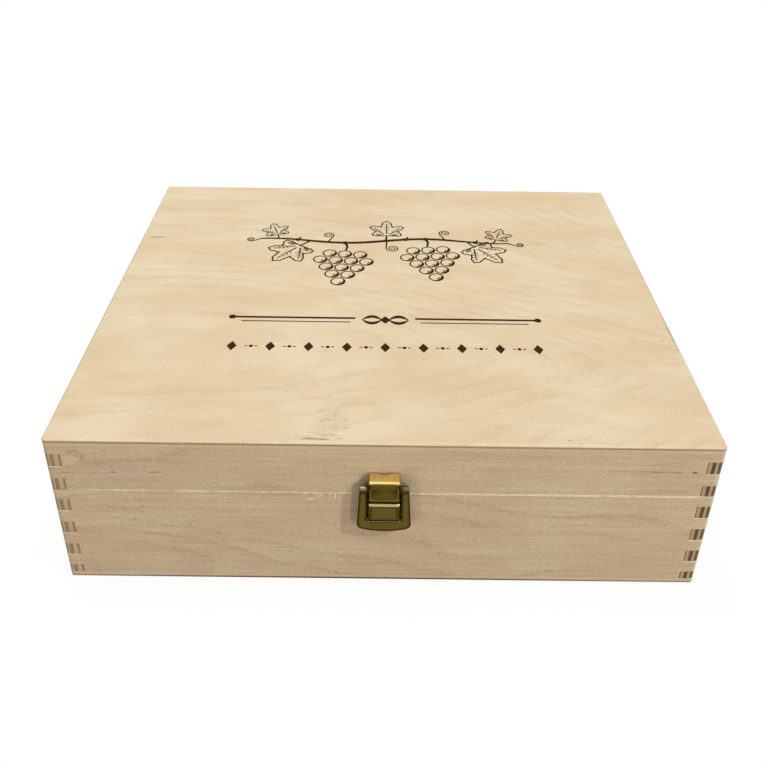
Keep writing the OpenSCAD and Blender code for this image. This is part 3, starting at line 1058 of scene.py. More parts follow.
class WoodShop:
    """The plywood finishes of the box."""

    WALL_JOINTS = (2.1, 3.1, 5.0, 7.3)
    RIGHT_WALL_JOINTS = (0.4, 1.0, 2.9, 4.5, 6.2, 8.1)
    PANEL_JOINTS = (0.9, 1.9)
    TOP_SEED = 3.0
    BROWN = (0.30, 0.19, 0.10)
    DARK_BROWN = (0.16, 0.09, 0.05)
    TORN = (0.31, 0.215, 0.065)
    RUBBED = (0.58, 0.46, 0.23)
    HAIRLINES = (
        (-148.0, 76.0, 22.0, 0.36, 0.40, 0.2, 0.9), (-160.5, 75.8, 6.0, 0.55, 0.42, 0.2, 0.9),
        (-136.5, 76.4, 1.9, 0.6, 0.7, 0.2, 0.7), (-116.1, 76.6, 4.6, 0.6, 0.65, 0.2, 0.9),
        (132.0, 80.9, 27.0, 0.5, 0.42, 0.3, 1.2), (137.0, 80.7, 3.6, 0.65, 0.4, 0.2, 1.0),
        (147.5, 80.5, 4.2, 0.7, 0.5, 0.2, 1.0), (156.0, 80.7, 2.0, 0.95, 0.95, 0.3, 0.5))
    # Painted shade and painted highlight of the small ripples in the scuff at the front of the lid.
    SCUFF_SHADES = (
        (-30.3, 5.9, 3.4), (-26.3, 6.2, 2.8), (-22.8, 3.5, 2.6), (-29.5, 17.8, 2.6), (-32.2, 16.3, 2.0),
        (-20.4, 17.8, 1.8), (-20.0, 11.8, 2.2), (-33.5, 25.5, 1.8), (-25.6, 22.5, 1.8))
    SCUFF_LIGHTS = (
        (-28.0, 9.0, 4.2), (-27.7, 15.6, 2.2), (-33.5, 21.0, 2.4), (-25.6, 31.0, 2.6), (-23.0, 7.6, 3.6),
        (-38.5, 6.6, 4.0))

    def walls(self) -> Dict[str, Material]:
        """Makes the finishes of the four sides; the right one has darker end grain.

        Returns:
            The materials by side.
        """
        finishes = {
            side: PlywoodFinish(f"plywood_{side}", along, Axis.Z, through, face, inward, self.WALL_JOINTS,
                                WALL_TONES, WALL_FIGURE, seed, seams=FingerSeams())
            for side, along, through, face, inward, seed in (
                ("front", Axis.X, Axis.Y, SIZES.front, 1.0, 1.0),
                ("back", Axis.X, Axis.Y, SIZES.back, -1.0, 71.0),
                ("left", Axis.Y, Axis.X, SIZES.left, 1.0, 131.0),
                ("right", Axis.Y, Axis.X, SIZES.right, -1.0, 191.0))}
        finishes["front"] = replace(finishes["front"], marks=self.front_marks())
        finishes["right"] = replace(finishes["right"], tones=DARK_END_TONES, joints=self.RIGHT_WALL_JOINTS)
        return {side: finish.build() for side, finish in finishes.items()}

    def front_marks(self) -> Tuple[Mark, ...]:
        """Lays out the front wall's knot, with a part of its rings worn off, and its brown hairlines.

        Returns:
            The marks.
        """
        y = SIZES.front
        knot = Mark((-154.3, y, 86.4), (7.4, 4.0, 6.8), (0.40, 0.26, 0.155), 0.72, 0.4, 0.7, 2.4)
        worn = Mark((-156.6, y, 84.2), (6.0, 4.0, 4.6), PALE_WOOD, 0.7, 0.35, 0.9)
        return (knot, worn, *(
            Mark((x, y, z), (half, 3.0, rise), self.DARK_BROWN, strength, core, ragged)
            for x, z, half, rise, strength, core, ragged in self.HAIRLINES))

    def top(self) -> Material:
        """Makes the lid's top panel: arched figure, specks, a torn dent at the front and bruised arrises.

        Returns:
            The material.
        """
        z, y, deep = SIZES.top, SIZES.front, 4.0
        marks = [Mark((-27.5, y + 17.0, z), (11.0, 16.0, deep), (0.40, 0.33, 0.22), 0.42, 0.2, 2.2, 3.3, 1.6)]
        marks += [Mark((x, y + back, z), (half, wide, deep), self.TORN, 0.8, 0.2, 1.4, 0.0, 3.0)
                  for x, back, half, wide in ((-37.6, 3.4, 6.4, 1.3), (-31.0, 3.1, 5.4, 1.1))]
        marks += [Mark((x, y + back, z), (half, wide, deep), self.BROWN, strength, core, ragged)
                  for x, back, half, wide, strength, core, ragged in (
                      (145.0, 90.0, 4.0, 0.9, 0.40, 0.0, 0.9), (162.5, 92.5, 1.2, 0.8, 0.6, 0.2, 0.5),
                      (92.0, 4.5, 1.6, 0.6, 0.6, 0.2, 0.5))]
        marks += [
            Mark((SIZES.right, y + 101.5, z), (2.3, 23.0, 2.3), (0.30, 0.24, 0.18), 0.85, 0.2, 0.9),
            Mark((-159.3, y + 210.5, z), (8.6, 0.8, deep), self.BROWN, 0.95, 0.3, 0.5)]
        marks += [Mark((x, y + 150.0, z), (1.7, 175.0, 1.7), self.BROWN, 0.40, 0.3, 0.8)
                  for x in (SIZES.left, SIZES.right)]
        # The scuff's ripples: painted shade, then painted highlight in raw wood.
        marks += [Mark((x, y + back, z), (half, 1.1, deep), self.RUBBED, 0.95, 0.1, 1.5, 0.0, 2.0)
                  for x, back, half in self.SCUFF_SHADES]
        marks += [Mark((x, y + back, z), (half, 1.0, deep), RAW_WOOD, 0.4, 0.0, 1.8)
                  for x, back, half in self.SCUFF_LIGHTS]
        return self._thin_board("top", Axis.Y, Axis.Z, z, -1.0, self.TOP_SEED, tuple(marks), -78.0)

    def bottom(self) -> Material:
        """Returns the finish of the bottom panel, with painted shade along its front edge, partly its dark
        core line.
        """
        # Painted shade of the gap under the front edge, with the panel's dark core line.
        bottom_edge_shade = Mark((-10.0, SIZES.front, 0.2), (205.0, 4.0, 2.5), (0.075, 0.036, 0.012), 0.92, 0.5, 0.5)
        return self._thin_board("bottom", Axis.Y, Axis.Z, 0.0, 1.0, 251.0, (bottom_edge_shade,))

    def slat(self, face: float) -> Material:
        """Returns the finish of the rear bottle divider, whose front face lies at the given place."""
        return self._thin_board("rear", Axis.Z, Axis.Y, face, 1.0, 300.0 + face)

    def _thin_board(self, name: str, across: Axis, through: Axis, face: float, inward: float, seed: float,
                    marks: Tuple[Mark, ...] = (), arches_at: Optional[float] = None) -> Material:
        """Returns a three-ply finish whose outer grain runs along X."""
        return PlywoodFinish(
            f"plywood_{name}", Axis.X, across, through, face, inward, self.PANEL_JOINTS, PANEL_TONES,
            PANEL_FIGURE, seed, marks, arches_at=arches_at).build()


@dataclass(frozen=True)
class BoxShell:
    """The eight walls, the two panels and the two slats, as eased plywood boards."""

    shop: WoodShop
    wall_easing: Easing = Easing(0.26)
    panel_easing: Easing = Easing(0.12, sharp_above=40.0)
    slat_easing: Easing = Easing(0.4)
    print_depth: float = 0.03

    def build(self) -> None:
        """Makes and dresses all the boards, and sands the top down by the thickness of its print."""
        walls = self.shop.walls()
        for body in ("base", "lid"):
            for side, material in walls.items():
                dressed_copy(f"{body}_{side}_wall", "board", self.wall_easing, material, "wall_plywood")
        bottom = eased_copy("base_bottom_panel", "base_bottom_board", self.panel_easing)
        finish_piece(bottom, self.shop.bottom(), "base", "panel_plywood", "base_bottom_panel")
        top = eased_copy("lid_top_panel", "lid_top_board", self.panel_easing)
        limit = (SIZES.top - self.print_depth) * MM
        for vertex in top.data.vertices:
            vertex.co.z = min(vertex.co.z, limit)
        finish_piece(top, self.shop.top(), "lid", "panel_plywood", "lid_top_panel")
        rear_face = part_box("bottle_divider_rear")[0].y / MM
        for place, material in (("front", walls["front"]), ("rear", self.shop.slat(rear_face))):
            dressed_copy(f"bottle_divider_{place}", "slat", self.slat_easing, material, "divider_plywood")


# ---- repeated shapes


class ShapeTree(TreeBuilder):
    """Base of the Geometry Nodes trees, which are applied to a piece."""

    kind = "GeometryNodeTree"
    outputs = (("Geometry", GEOMETRY),)

    def solid(self, graph: Graph, given: Sockets, instances: bpy.types.Node) -> Outputs:
        """Ends a tree: makes its instances real and gives them the finish.

        Args:
            graph, given: the tree's graph and inputs.
            instances: the node that places the instances.

        Returns:
            The tree's output.
        """
        real = graph.add("GeometryNodeRealizeInstances", {"Geometry": instances.outputs["Instances"]})
        dressed = graph.add("GeometryNodeSetMaterial", {
            "Geometry": real.outputs["Geometry"], "Material": given["Finish"]})
        return {"Geometry": dressed.outputs["Geometry"]}

    def apply_to(self, obj: Object, values: Dict[str, object]) -> Object:
        """Runs the tree on an object and leaves one plain mesh.

        Args:
            obj: the object that carries the path or the points.
            values: the tree's inputs by name.

        Returns:
            The same object.
        """
        modifier = obj.modifiers.new(self.name, "NODES")
        modifier.node_group = self.tree()
        modifier.node_group.is_modifier = True
        for item in modifier.node_group.interface.items_tree:
            if item.item_type == "SOCKET" and item.in_out == "INPUT" and item.name in values:
                modifier[item.identifier] = values[item.name]
        obj.update_tag()
        return applied(obj)


class FastenerRows(ShapeTree):
    """Puts one fastener on each point of a mesh."""

    name = "FastenerRows"
    inputs = (("Geometry", GEOMETRY), ("Fastener", "NodeSocketObject"), ("Finish", "NodeSocketMaterial"))

    def fill(self, graph: Graph, given: Sockets) -> Outputs:
        """Returns the fastener's instances on the points, made real."""
        shape = graph.add("GeometryNodeObjectInfo", {"Object": given["Fastener"]})
        return self.solid(graph, given, graph.add("GeometryNodeInstanceOnPoints", {
            "Points": given["Geometry"], "Instance": shape.outputs["Geometry"]}))


class EdgeFibres(ShapeTree):
    """Raw wood fibres that lie along a sawn edge, given as a path of edges."""

    name = "EdgeFibres"
    inputs = (("Geometry", GEOMETRY), ("Count", "NodeSocketInt"), ("Length", FLOAT), ("Thickness", FLOAT),
              ("Scatter", VECTOR), ("Turn", VECTOR), ("Tilt", FLOAT), ("Seed", "NodeSocketInt"),
              ("Finish", "NodeSocketMaterial"))
    sides = 5
    tip_share = 0.3
    shortest = 0.35
    seed_step = 101.0

    def fill(self, graph: Graph, given: Sockets) -> Outputs:
        """Scatters slim tapered fibres along the path.

        Args:
            graph, given: the tree's graph and inputs.

        Returns:
            The tree's output.
        """
        path = graph.add("GeometryNodeMeshToCurve", {"Mesh": given["Geometry"]}).outputs["Curve"]
        points = graph.add("GeometryNodeCurveToPoints", {
            "Curve": path, "Count": given["Count"]}, mode="COUNT")
        back = graph.vector("SCALE", given["Scatter"], -1.0)
        offset = self._random(graph, given, "FLOAT_VECTOR", back, given["Scatter"], 0)
        moved = graph.add("GeometryNodeSetPosition", {"Geometry": points.outputs["Points"], "Offset": offset})
        fibre = graph.add("GeometryNodeMeshCone", {
            "Vertices": self.sides, "Radius Top": graph.times(given["Thickness"], self.tip_share),
            "Radius Bottom": given["Thickness"], "Depth": given["Length"]})
        down = graph.times(given["Tilt"], -1.0)
        lean = self._random(graph, given, "FLOAT_VECTOR", graph.combine(down, down, down),
                            graph.combine(*[given["Tilt"]] * 3), 1)
        laid = graph.add("FunctionNodeRotateEuler", {
            "Rotation": given["Turn"], "Rotate By": lean}, rotation_type="EULER")
        size = self._random(graph, given, "FLOAT", self.shortest, 1.0, 2)
        return self.solid(graph, given, graph.add("GeometryNodeInstanceOnPoints", {
            "Points": moved.outputs["Geometry"], "Instance": fibre.outputs["Mesh"],
            "Rotation": laid.outputs["Rotation"], "Scale": graph.combine(1.0, 1.0, size)}))

    def _random(self, graph: Graph, given: Sockets, kind: str, low: Value, high: Value, turn: int) -> Socket:
        """Draws a random value for each point.

        Args:
            graph, given: the tree's graph and inputs.
            kind, low, high: the value's data type and range.
            turn: which draw it is.

        Returns:
            The value.
        """
        node = graph.add("FunctionNodeRandomValue", data_type=kind)
        shown = {socket.name: socket for socket in node.inputs if socket.enabled}
        for name, value in (("Min", low), ("Max", high),
                            ("Seed", graph.total(given["Seed"], turn * self.seed_step))):
            graph.feed(shown[name], value)
        return next(s for s in node.outputs if s.enabled and s.name == "Value")


def point_mesh(name: str, points: Iterable[Point3], linked: bool = False) -> Object:
    """Makes an object of loose points, or of a path through them.

    Args:
        name: the object's name.
        points: the points in millimetres.
        linked: whether they are a path.

    Returns:
        The object.
    """
    placed = [tuple(Vector(p) * MM) for p in points]
    mesh = bpy.data.meshes.new(name)
    mesh.from_pydata(placed, [(i, i + 1) for i in range(len(placed) - 1)] if linked else [], [])
    return plain_object(name, mesh)


def lathe(name: str, profile: Sequence[Point2], steps: int) -> Mesh:
    """Turns a profile of (radius, height) in millimetres about +Z.

    Args:
        name: the mesh's name.
        profile: points from the axis at the foot to the axis at the top; a radius of 0 is one point.
        steps: the number of sides.

    Returns:
        The closed mesh, faces outward.
    """
    solid = bmesh.new()
    bridge(solid, [
        [solid.verts.new(Vector((x, y, height)) * MM)
         for x, y in (circle((0.0, 0.0), radius, steps) if radius else [(0.0, 0.0)])]
        for radius, height in profile])
    return closed_mesh(solid, name)


# ---- hinges and fasteners


@dataclass(frozen=True)
class Hinges:
    """Two brass butt hinges with their pins and countersunk screws."""

    brass: Material
    steel: Material
    screw_metal: Material
    leaf_easing: Easing = Easing(0.14, smooth_below=25.0)
    pin_easing: Easing = Easing(0.15, smooth_below=25.0)
    screw_easing: Easing = Easing(0.08, 1, smooth_below=25.0)

    def build(self) -> None:
        """Makes both hinges and the two rows of screws."""
        for side in ("left", "right"):
            for body in ("base", "lid"):
                leaf = f"hinge_{side}_{body}_leaf"
                dressed_copy(leaf, "plate", self.leaf_easing, self.brass, "hinge_plate")
            dressed_copy(f"hinge_{side}_pin", "rod", self.pin_easing, self.steel, "pin_steel")
        for body in ("base", "lid"):
            screws = f"hinge_{body}_screws"
            dressed_copy(screws, "row", self.screw_easing, self.screw_metal, "screw_brass")


@dataclass(frozen=True)
class NailShape:
    """A round-headed nail, in millimetres."""

    head_radius: float = 1.3
    head_height: float = 0.5
    rim_share: float = 0.3
    shank_radius: float = 0.6
    length: float = 6.5
    point_length: float = 1.0
    steps: int = 24
    dome_angles: Tuple[float, ...] = (1.3, 1.05, 0.7, 0.35, 0.0)

    def mesh(self, name: str) -> Mesh:
        """Makes the nail lying along +Y, its head's underside at y = 0.

        Args:
            name: the mesh's name.

        Returns:
            The mesh.
        """
        dome = [(self.head_radius * math.cos(a),
                 -self.head_height * (self.rim_share + (1.0 - self.rim_share) * math.sin(a)))
                for a in self.dome_angles]
        profile = [(0.0, -self.head_height), *dome, (self.head_radius, 0.0), (self.shank_radius, 0.0),
                   (self.shank_radius, self.length - self.point_length), (0.0, self.length)]
        mesh = lathe(name, profile, self.steps)
        mesh.transform(Matrix.Rotation(-math.pi / 2, 4, "X"))
        return mesh

    def places(self, node: str) -> List[Point3]:
        """Finds the nails of a node.

        Args:
            node: the node's name.

        Returns:
            The middle of each nail's head, at the underside of the heads, in millimetres.
        """
        groups: List[List[Vector]] = []
        for vertex in frame["nodes"][node].data.vertices:
            point = vertex.co.xz / MM
            near = next((g for g in groups if (point - g[0]).length < 2 * self.head_radius + 0.1), None)
            if near is None:
                groups.append([point])
            else:
                near.append(point)
        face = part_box(node)[0].y / MM + self.head_height
        middles = [[(min(values) + max(values)) / 2 for values in zip(*group)] for group in groups]
        return [(x, face, z) for x, z in middles]


# ---- the latch


@dataclass(frozen=True)
class LatchSizes:
    """Sizes of the draw latch in millimetres; out is the distance from the front wall."""

    lever_pin_out: float
    lever_pin_z: float
    tongue_pin_z: float
    ear_radius: float
    ear_outer: float
    face_out: float
    half_low: float
    tip_z: float
    tongue_half: float
    ear_inner: float = 9.0
    ear_bore: float = 0.75
    ear_rounding: float = 0.35
    sheet: float = 0.9
    plate_rounding: float = 0.22
    corner_radius: float = 3.4
    tip_radius: float = 43.0
    window_half: float = 8.8
    window_rise: float = 7.0
    window_corner: float = 0.8
    flap_half: float = 8.0
    flap_gap: float = 2.1
    flap_foot_rise: float = 0.7
    flap_sheet: float = 0.6
    flap_corner: float = 0.7
    tongue_face_out: float = 6.6
    tongue_panel_foot: float = 2.60
    tongue_panel_height: float = 7.20
    tongue_panel_inset: float = 0.5
    tongue_panel_sheet: float = 0.1
    dimple: float = 0.42
    dimple_rise: float = 0.336

    @classmethod
    def read(cls) -> "LatchSizes":
        """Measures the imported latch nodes.

        Returns:
            Their sizes, with those of the pressed details.
        """
        pin_low, pin_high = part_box("latch_lever_pin")
        tongue_pin_low, tongue_pin_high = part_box("latch_tongue_pin")
        lever_low, lever_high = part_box("latch_lever")
        _, tongue_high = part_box("latch_tongue")
        pin_out = SIZES.front - (pin_low.y + pin_high.y) / 2 / MM
        pin_z = (pin_low.z + pin_high.z) / 2 / MM
        ear_radius = lever_high.z / MM - pin_z
        return cls(
            lever_pin_out=pin_out, lever_pin_z=pin_z,
            tongue_pin_z=(tongue_pin_low.z + tongue_pin_high.z) / 2 / MM,
            ear_radius=ear_radius, ear_outer=pin_high.x / MM - 0.2, face_out=pin_out + ear_radius,
            half_low=lever_high.x / MM, tip_z=lever_low.z / MM, tongue_half=tongue_high.x / MM)

    @property
    def window_low(self) -> float:
        """Height of the lower end of the window between the arms."""
        return self.tip_z + self.window_rise

    @property
    def flap_upright(self) -> Tuple[float, float]:
        """Heights of the flap's foot and top."""
        return self.window_low + self.flap_foot_rise, self.tongue_pin_z - self.flap_gap

    @property
    def tongue_panel_upright(self) -> Tuple[float, float]:
        """Heights of the foot and top of the tongue's panel."""
        foot = self.tongue_pin_z + self.tongue_panel_foot
        return foot, foot + self.tongue_panel_height


@dataclass(frozen=True)
class PanelStep:
    """One ring of a pressed panel: its insets from the sides, the top and the foot, its rise and its painted
    highlight.
    """

    side: float
    top: float
    foot: float
    rise: float
    rub: float = 0.0


# The flap's top bevel gets a painted highlight, and its rim a faint one.
FLAP_STEPS = (
    PanelStep(0.0, 0.0, 0.0, -0.5), PanelStep(0.0, 0.0, 0.0, 0.0), PanelStep(0.06, 0.06, 0.05, 0.1, 0.2),
    PanelStep(0.70, 0.66, 1.15, 1.06, 0.62), PanelStep(0.84, 0.80, 1.33, 1.18), PanelStep(1.1, 1.1, 1.6, 1.2))
# The tongue panel's inset border gets a painted highlight line.
TONGUE_STEPS = (
    PanelStep(0.0, 0.0, 0.0, -0.2), PanelStep(0.0, 0.0, 0.0, 0.0), PanelStep(0.3, 0.3, 0.3, 0.12, 0.7),
    PanelStep(0.7, 0.7, 0.7, 0.12), PanelStep(0.9, 0.9, 0.9, 0.12))


@dataclass(frozen=True)
class Latch:
    """The draw latch: base plate, lever with its raised flap, tongue, striker, pins and nails."""

    lever_brass: Material
    tongue_brass: Material
    inner_brass: Material
    sizes: LatchSizes
    easing: Easing = Easing(0.16, 3, smooth_below=28.0)
    nail: NailShape = field(default_factory=NailShape)
    # Painted highlight on the ears, kept low; a painted glint on the dimples; the roll kept dull.
    ear_rub: Tuple[float, float] = (-0.3, -0.85)
    dimple_rub: float = 3.0
    roll_rub: float = -1.0

    def build(self) -> None:
        """Makes every piece of the latch."""
        # The base plate and the pins are in darkened brass, a painted shade for the slits and gaps that they
        # show through.
        for node, material, slot in (
                ("latch_base_plate", self.inner_brass, "latch_brass"),
                ("latch_striker", self.lever_brass, "latch_brass"),
                ("latch_lever_pin", self.inner_brass, "pin_steel"),
                ("latch_tongue_pin", self.inner_brass, "pin_steel")):
            dressed_copy(node, "metal", self.easing, material, slot)
        self._pressing("latch_tongue", self._tongue_parts(), self.tongue_brass)
        self._pressing("latch_lever", self._lever_parts(), self.lever_brass)
        # The base nails are in the darkened brass of painted shade as well.
        self._nails("latch_base_nails", self.inner_brass)
        self._nails("latch_striker_nails", self.lever_brass)

    def _nails(self, node: str, metal: Material) -> None:
        """Makes the nails of one plate.

        Args:
            node: the nails' node, whose solids give their places.
            metal: their material.
        """
        shape = plain_object(f"{node}_shape", self.nail.mesh(f"{node}_shape"))
        row = point_mesh(f"{node}_row", self.nail.places(node))
        FastenerRows().apply_to(row, {"Fastener": shape, "Finish": metal})
        bpy.data.objects.remove(shape)
        shade(row, self.easing.smooth_below)
        finish_piece(row, metal, body_of(node), "latch_nail", node)

    def _pressing(self, node: str, parts: Sequence[Mesh], metal: Material) -> None:
        """Makes one piece of the parts that stand for a node.

        Args:
            node: the node's name.
            parts: the parts' meshes, which are removed.
            metal: its material.
        """
        name = f"{node}_pressing"
        piece = plain_object(name, joined(name, parts))
        shade(piece, self.easing.smooth_below)
        finish_piece(piece, metal, body_of(node), "latch_brass", node)

    def _tongue_parts(self) -> List[Mesh]:
        """Makes the tongue's eased strip, whose roll stays dull, and the pressed panel on its front.

        Returns:
            Their meshes.
        """
        s = self.sizes
        half = s.tongue_half - s.tongue_panel_inset
        strip = eased_copy("latch_tongue", "latch_tongue_strip", replace(self.easing, smooth_below=None))
        panel = pressed_panel("latch_tongue_panel", (-half, half), s.tongue_panel_upright, s.tongue_face_out,
                              0.5, TONGUE_STEPS, s.tongue_panel_sheet)
        mesh = strip.data
        bpy.data.objects.remove(strip)
        roll_top = s.tongue_panel_upright[0] * MM
        # The roll below the panel is kept out of the painted highlight.
        set_rub_and_highlight(mesh, [self.roll_rub if v.co.z < roll_top else 0.0 for v in mesh.vertices])
        return [mesh, panel]

    def _lever_parts(self) -> List[Mesh]:
        """Makes the lever's plate with two arms, its rolled ears, two dimples and the raised flap.

        Returns:
            Their meshes.
        """
        s = self.sizes
        parts = [pressed_plate("latch_lever_plate", self._lever_outline(), s.sheet, s.plate_rounding)]
        stand(parts[0], (0.0, SIZES.front - s.face_out + s.sheet / 2, 0.0))
        quarter = arc((0.0, 0.0), 1.0, 0.0, math.pi / 2, 6)[:-1]
        dome = [(0.0, 0.0), *((s.dimple * x, s.dimple_rise * z) for x, z in quarter), (0.0, s.dimple_rise)]
        for side, worn in zip((-1, 1), self.ear_rub):
            ends = sorted((side * s.ear_inner, side * s.ear_outer))
            ear = tube_along_x(f"latch_ear_{side}", ends, s.ear_radius, s.ear_bore, s.ear_rounding, 32)
            pin = Vector((0.0, SIZES.front - s.lever_pin_out, s.lever_pin_z))
            ear.transform(Matrix.Translation(pin * MM))
            dimple = lathe(f"latch_dimple_{side}", dome, 20)
            stand(dimple, (side * s.flap_half, SIZES.front - s.face_out + 0.08, s.window_low - 0.2))
            # Painted glint on the dimples, and less painted highlight on the ears.
            set_rub_and_highlight(dimple, [self.dimple_rub] * len(dimple.vertices))
            set_rub_and_highlight(ear, [worn] * len(ear.vertices))
            parts += [ear, dimple]
        flap = pressed_panel("latch_flap", (-s.flap_half, s.flap_half), s.flap_upright, s.face_out,
                             s.flap_corner, FLAP_STEPS, s.flap_sheet)
        return [*parts, flap]

    def _lever_outline(self) -> List[Point2]:
        """Draws the lever from the front, without the ears.

        Returns:
            Its outline, counter-clockwise.
        """
        s = self.sizes
        centre_z = s.tip_z + s.tip_radius
        corner_x = s.half_low - s.corner_radius
        corner_z = centre_z - math.sqrt((s.tip_radius - s.corner_radius) ** 2 - corner_x ** 2)
        tip_angle = math.atan2(corner_z - centre_z, corner_x)
        arm_outer = s.ear_outer + 0.3
        side_slope = math.atan2(s.half_low - arm_outer, s.lever_pin_z - corner_z)
        tip = arc((0.0, centre_z), s.tip_radius, -math.pi - tip_angle, tip_angle, 24)
        right = arc((corner_x, corner_z), s.corner_radius, tip_angle, side_slope, 8)[1:]
        right += [(arm_outer, s.lever_pin_z - 0.2), (s.ear_outer, s.lever_pin_z + 0.3),
                  (s.ear_inner, s.lever_pin_z + 0.3), (s.window_half, s.lever_pin_z - 0.2)]
        right += arc((s.window_half - s.window_corner, s.window_low + s.window_corner), s.window_corner,
                     0.0, -math.pi / 2, 6)
        return tip + right + [(-x, z) for x, z in right[::-1]]


def rounded_rectangle(low: Point2, high: Point2, radius: float, steps: int) -> List[Point2]:
    """Draws a rectangle with round corners.

    Args:
        low, high: its lower left and upper right corner.
        radius, steps: the radius and the number of sides of each round corner.

    Returns:
        Its outline, counter-clockwise.
    """
    left, right, foot, top = low[0] + radius, high[0] - radius, low[1] + radius, high[1] - radius
    points: List[Point2] = []
    for k, centre in enumerate(((right, foot), (right, top), (left, top), (left, foot))):
        points += arc(centre, radius, math.radians(90.0 * (k - 1)), math.radians(90.0 * k), steps)
    return points


def pressed_panel(name: str, across: Point2, upright: Point2, out: float, corner: float,
                  steps: Sequence[PanelStep], thickness: float) -> Mesh:
    """Makes a panel pressed out of a sheet in front of the front wall, open at its back.

    Args:
        name: the mesh's name.
        across, upright: its left and right edge, and its foot and top, in millimetres.
        out, corner: the sheet's distance from the front wall, and its corners' radius.
        steps: its rings, from the rim to the middle.
        thickness: the sheet's thickness.

    Returns:
        The closed mesh.
    """
    shape = bmesh.new()
    rows = []
    # Each ring's painted highlight, as a point attribute.
    rub = shape.verts.layers.float.new(RUB_AND_HIGHLIGHT)
    for step in steps:
        outline = rounded_rectangle(
            (across[0] + step.side, upright[0] + step.foot), (across[1] - step.side, upright[1] - step.top),
            max(corner - step.side * 0.4, 0.2), 5)
        y = SIZES.front - out - step.rise
        rows.append([shape.verts.new(Vector((x, y, z)) * MM) for x, z in outline])
        for vertex in rows[-1]:
            vertex[rub] = step.rub
    bridge(shape, rows)
    cap = shape.faces.new(rows[-1])
    bmesh.ops.recalc_face_normals(shape, faces=shape.faces)
    shape.normal_update()
    if cap.normal.y > 0:
        bmesh.ops.reverse_faces(shape, faces=shape.faces)
    bmesh.ops.solidify(shape, geom=shape.faces[:], thickness=thickness * MM)
    return closed_mesh(shape, name)


def pressed_plate(name: str, outline: Sequence[Point2], thickness: float, rounding: float) -> Mesh:
    """Makes a flat plate with rounded edges, drawn in X and Y and centred on z = 0.

    Args:
        name: the mesh's name.
        outline: its outline in millimetres.
        thickness, rounding: its thickness and the radius of its edges, in millimetres.

    Returns:
        The closed mesh.
    """
    curve = bpy.data.curves.new(name, "CURVE")
    curve.dimensions = "2D"
    curve.fill_mode = "BOTH"
    curve.extrude = (thickness / 2 - rounding) * MM
    curve.bevel_depth = rounding * MM
    curve.bevel_resolution = 2
    curve.offset = -rounding * MM
    spline = curve.splines.new("POLY")
    spline.points.add(len(outline) - 1)
    for point, (x, y) in zip(spline.points, outline):
        point.co = (x * MM, y * MM, 0.0, 1.0)
    spline.use_cyclic_u = True
    obj = plain_object(name, curve)
    mesh = evaluated_mesh(obj)
    bpy.data.objects.remove(obj)
    solid = bmesh.new()
    solid.from_mesh(mesh)
    bpy.data.meshes.remove(mesh)
    bmesh.ops.remove_doubles(solid, verts=solid.verts, dist=SAME_POINT / 10)
    return closed_mesh(solid, name)


def stand(mesh: Mesh, place: Point3) -> None:
    """Turns a mesh drawn in X and Y to look forward, and puts its origin at a place in millimetres."""
    mesh.transform(Matrix.Rotation(math.pi / 2, 4, "X"))
    mesh.transform(Matrix.Translation(Vector(place) * MM))


def tube_along_x(name: str, ends: Sequence[float], outer: float, inner: float, rounding: float,
                 steps: int) -> Mesh:
    """Makes a tube about the X axis with rounded outer edges.

    Args:
        name: the mesh's name.
        ends: its left and right end, in millimetres.
        outer, inner: its outer radius, and the radius of its bore.
        rounding: the radius of its rounded edges.
        steps: the number of sides.

    Returns:
        The closed mesh.
    """
    length = ends[1] - ends[0]
    shoulder = outer - rounding
    profile = [(inner, 0.0), *arc((shoulder, rounding), rounding, -math.pi / 2, 0.0, 3),
               *arc((shoulder, length - rounding), rounding, 0.0, math.pi / 2, 3), (inner, length)]
    solid = bmesh.new()
    rows = [[solid.verts.new(Vector((ends[0] + along, y, z)) * MM)
             for y, z in circle((0.0, 0.0), radius, steps)] for radius, along in profile]
    bridge(solid, [*rows, rows[0]])
    return closed_mesh(solid, name)


def set_rub_and_highlight(mesh: Mesh, shares: Sequence[float]) -> None:
    """Sets each point's painted highlight, partly rubbing: 1 is bright, below 0 keeps it dull."""
    mesh.attributes.new(RUB_AND_HIGHLIGHT, "FLOAT", "POINT").data.foreach_set("value", shares)


def joined(name: str, meshes: Sequence[Mesh]) -> Mesh:
    """Joins meshes and keeps each point's painted highlight.

    Args:
        name: the new mesh's name.
        meshes: the meshes, which are removed.

    Returns:
        The new mesh.
    """
    solid = bmesh.new()
    shares: List[float] = []
    for mesh in meshes:
        layer = mesh.attributes.get(RUB_AND_HIGHLIGHT)
        shares += [item.value for item in layer.data] if layer else [0.0] * len(mesh.vertices)
        solid.from_mesh(mesh)
        bpy.data.meshes.remove(mesh)
    result = mesh_from(solid, name)
    found = result.attributes.get(RUB_AND_HIGHLIGHT)
    if found:
        result.attributes.remove(found)
    set_rub_and_highlight(result, shares)
    return result


# ---- the lid's print


class Layer(Enum):
    """How far each kind of printed shape lies under the print's top, so that none share a plane, in mm."""

    LINE = 0.0
    SPOT = 0.003
    OUTLINE = 0.006
    VEIN = 0.009
    HATCH = 0.012


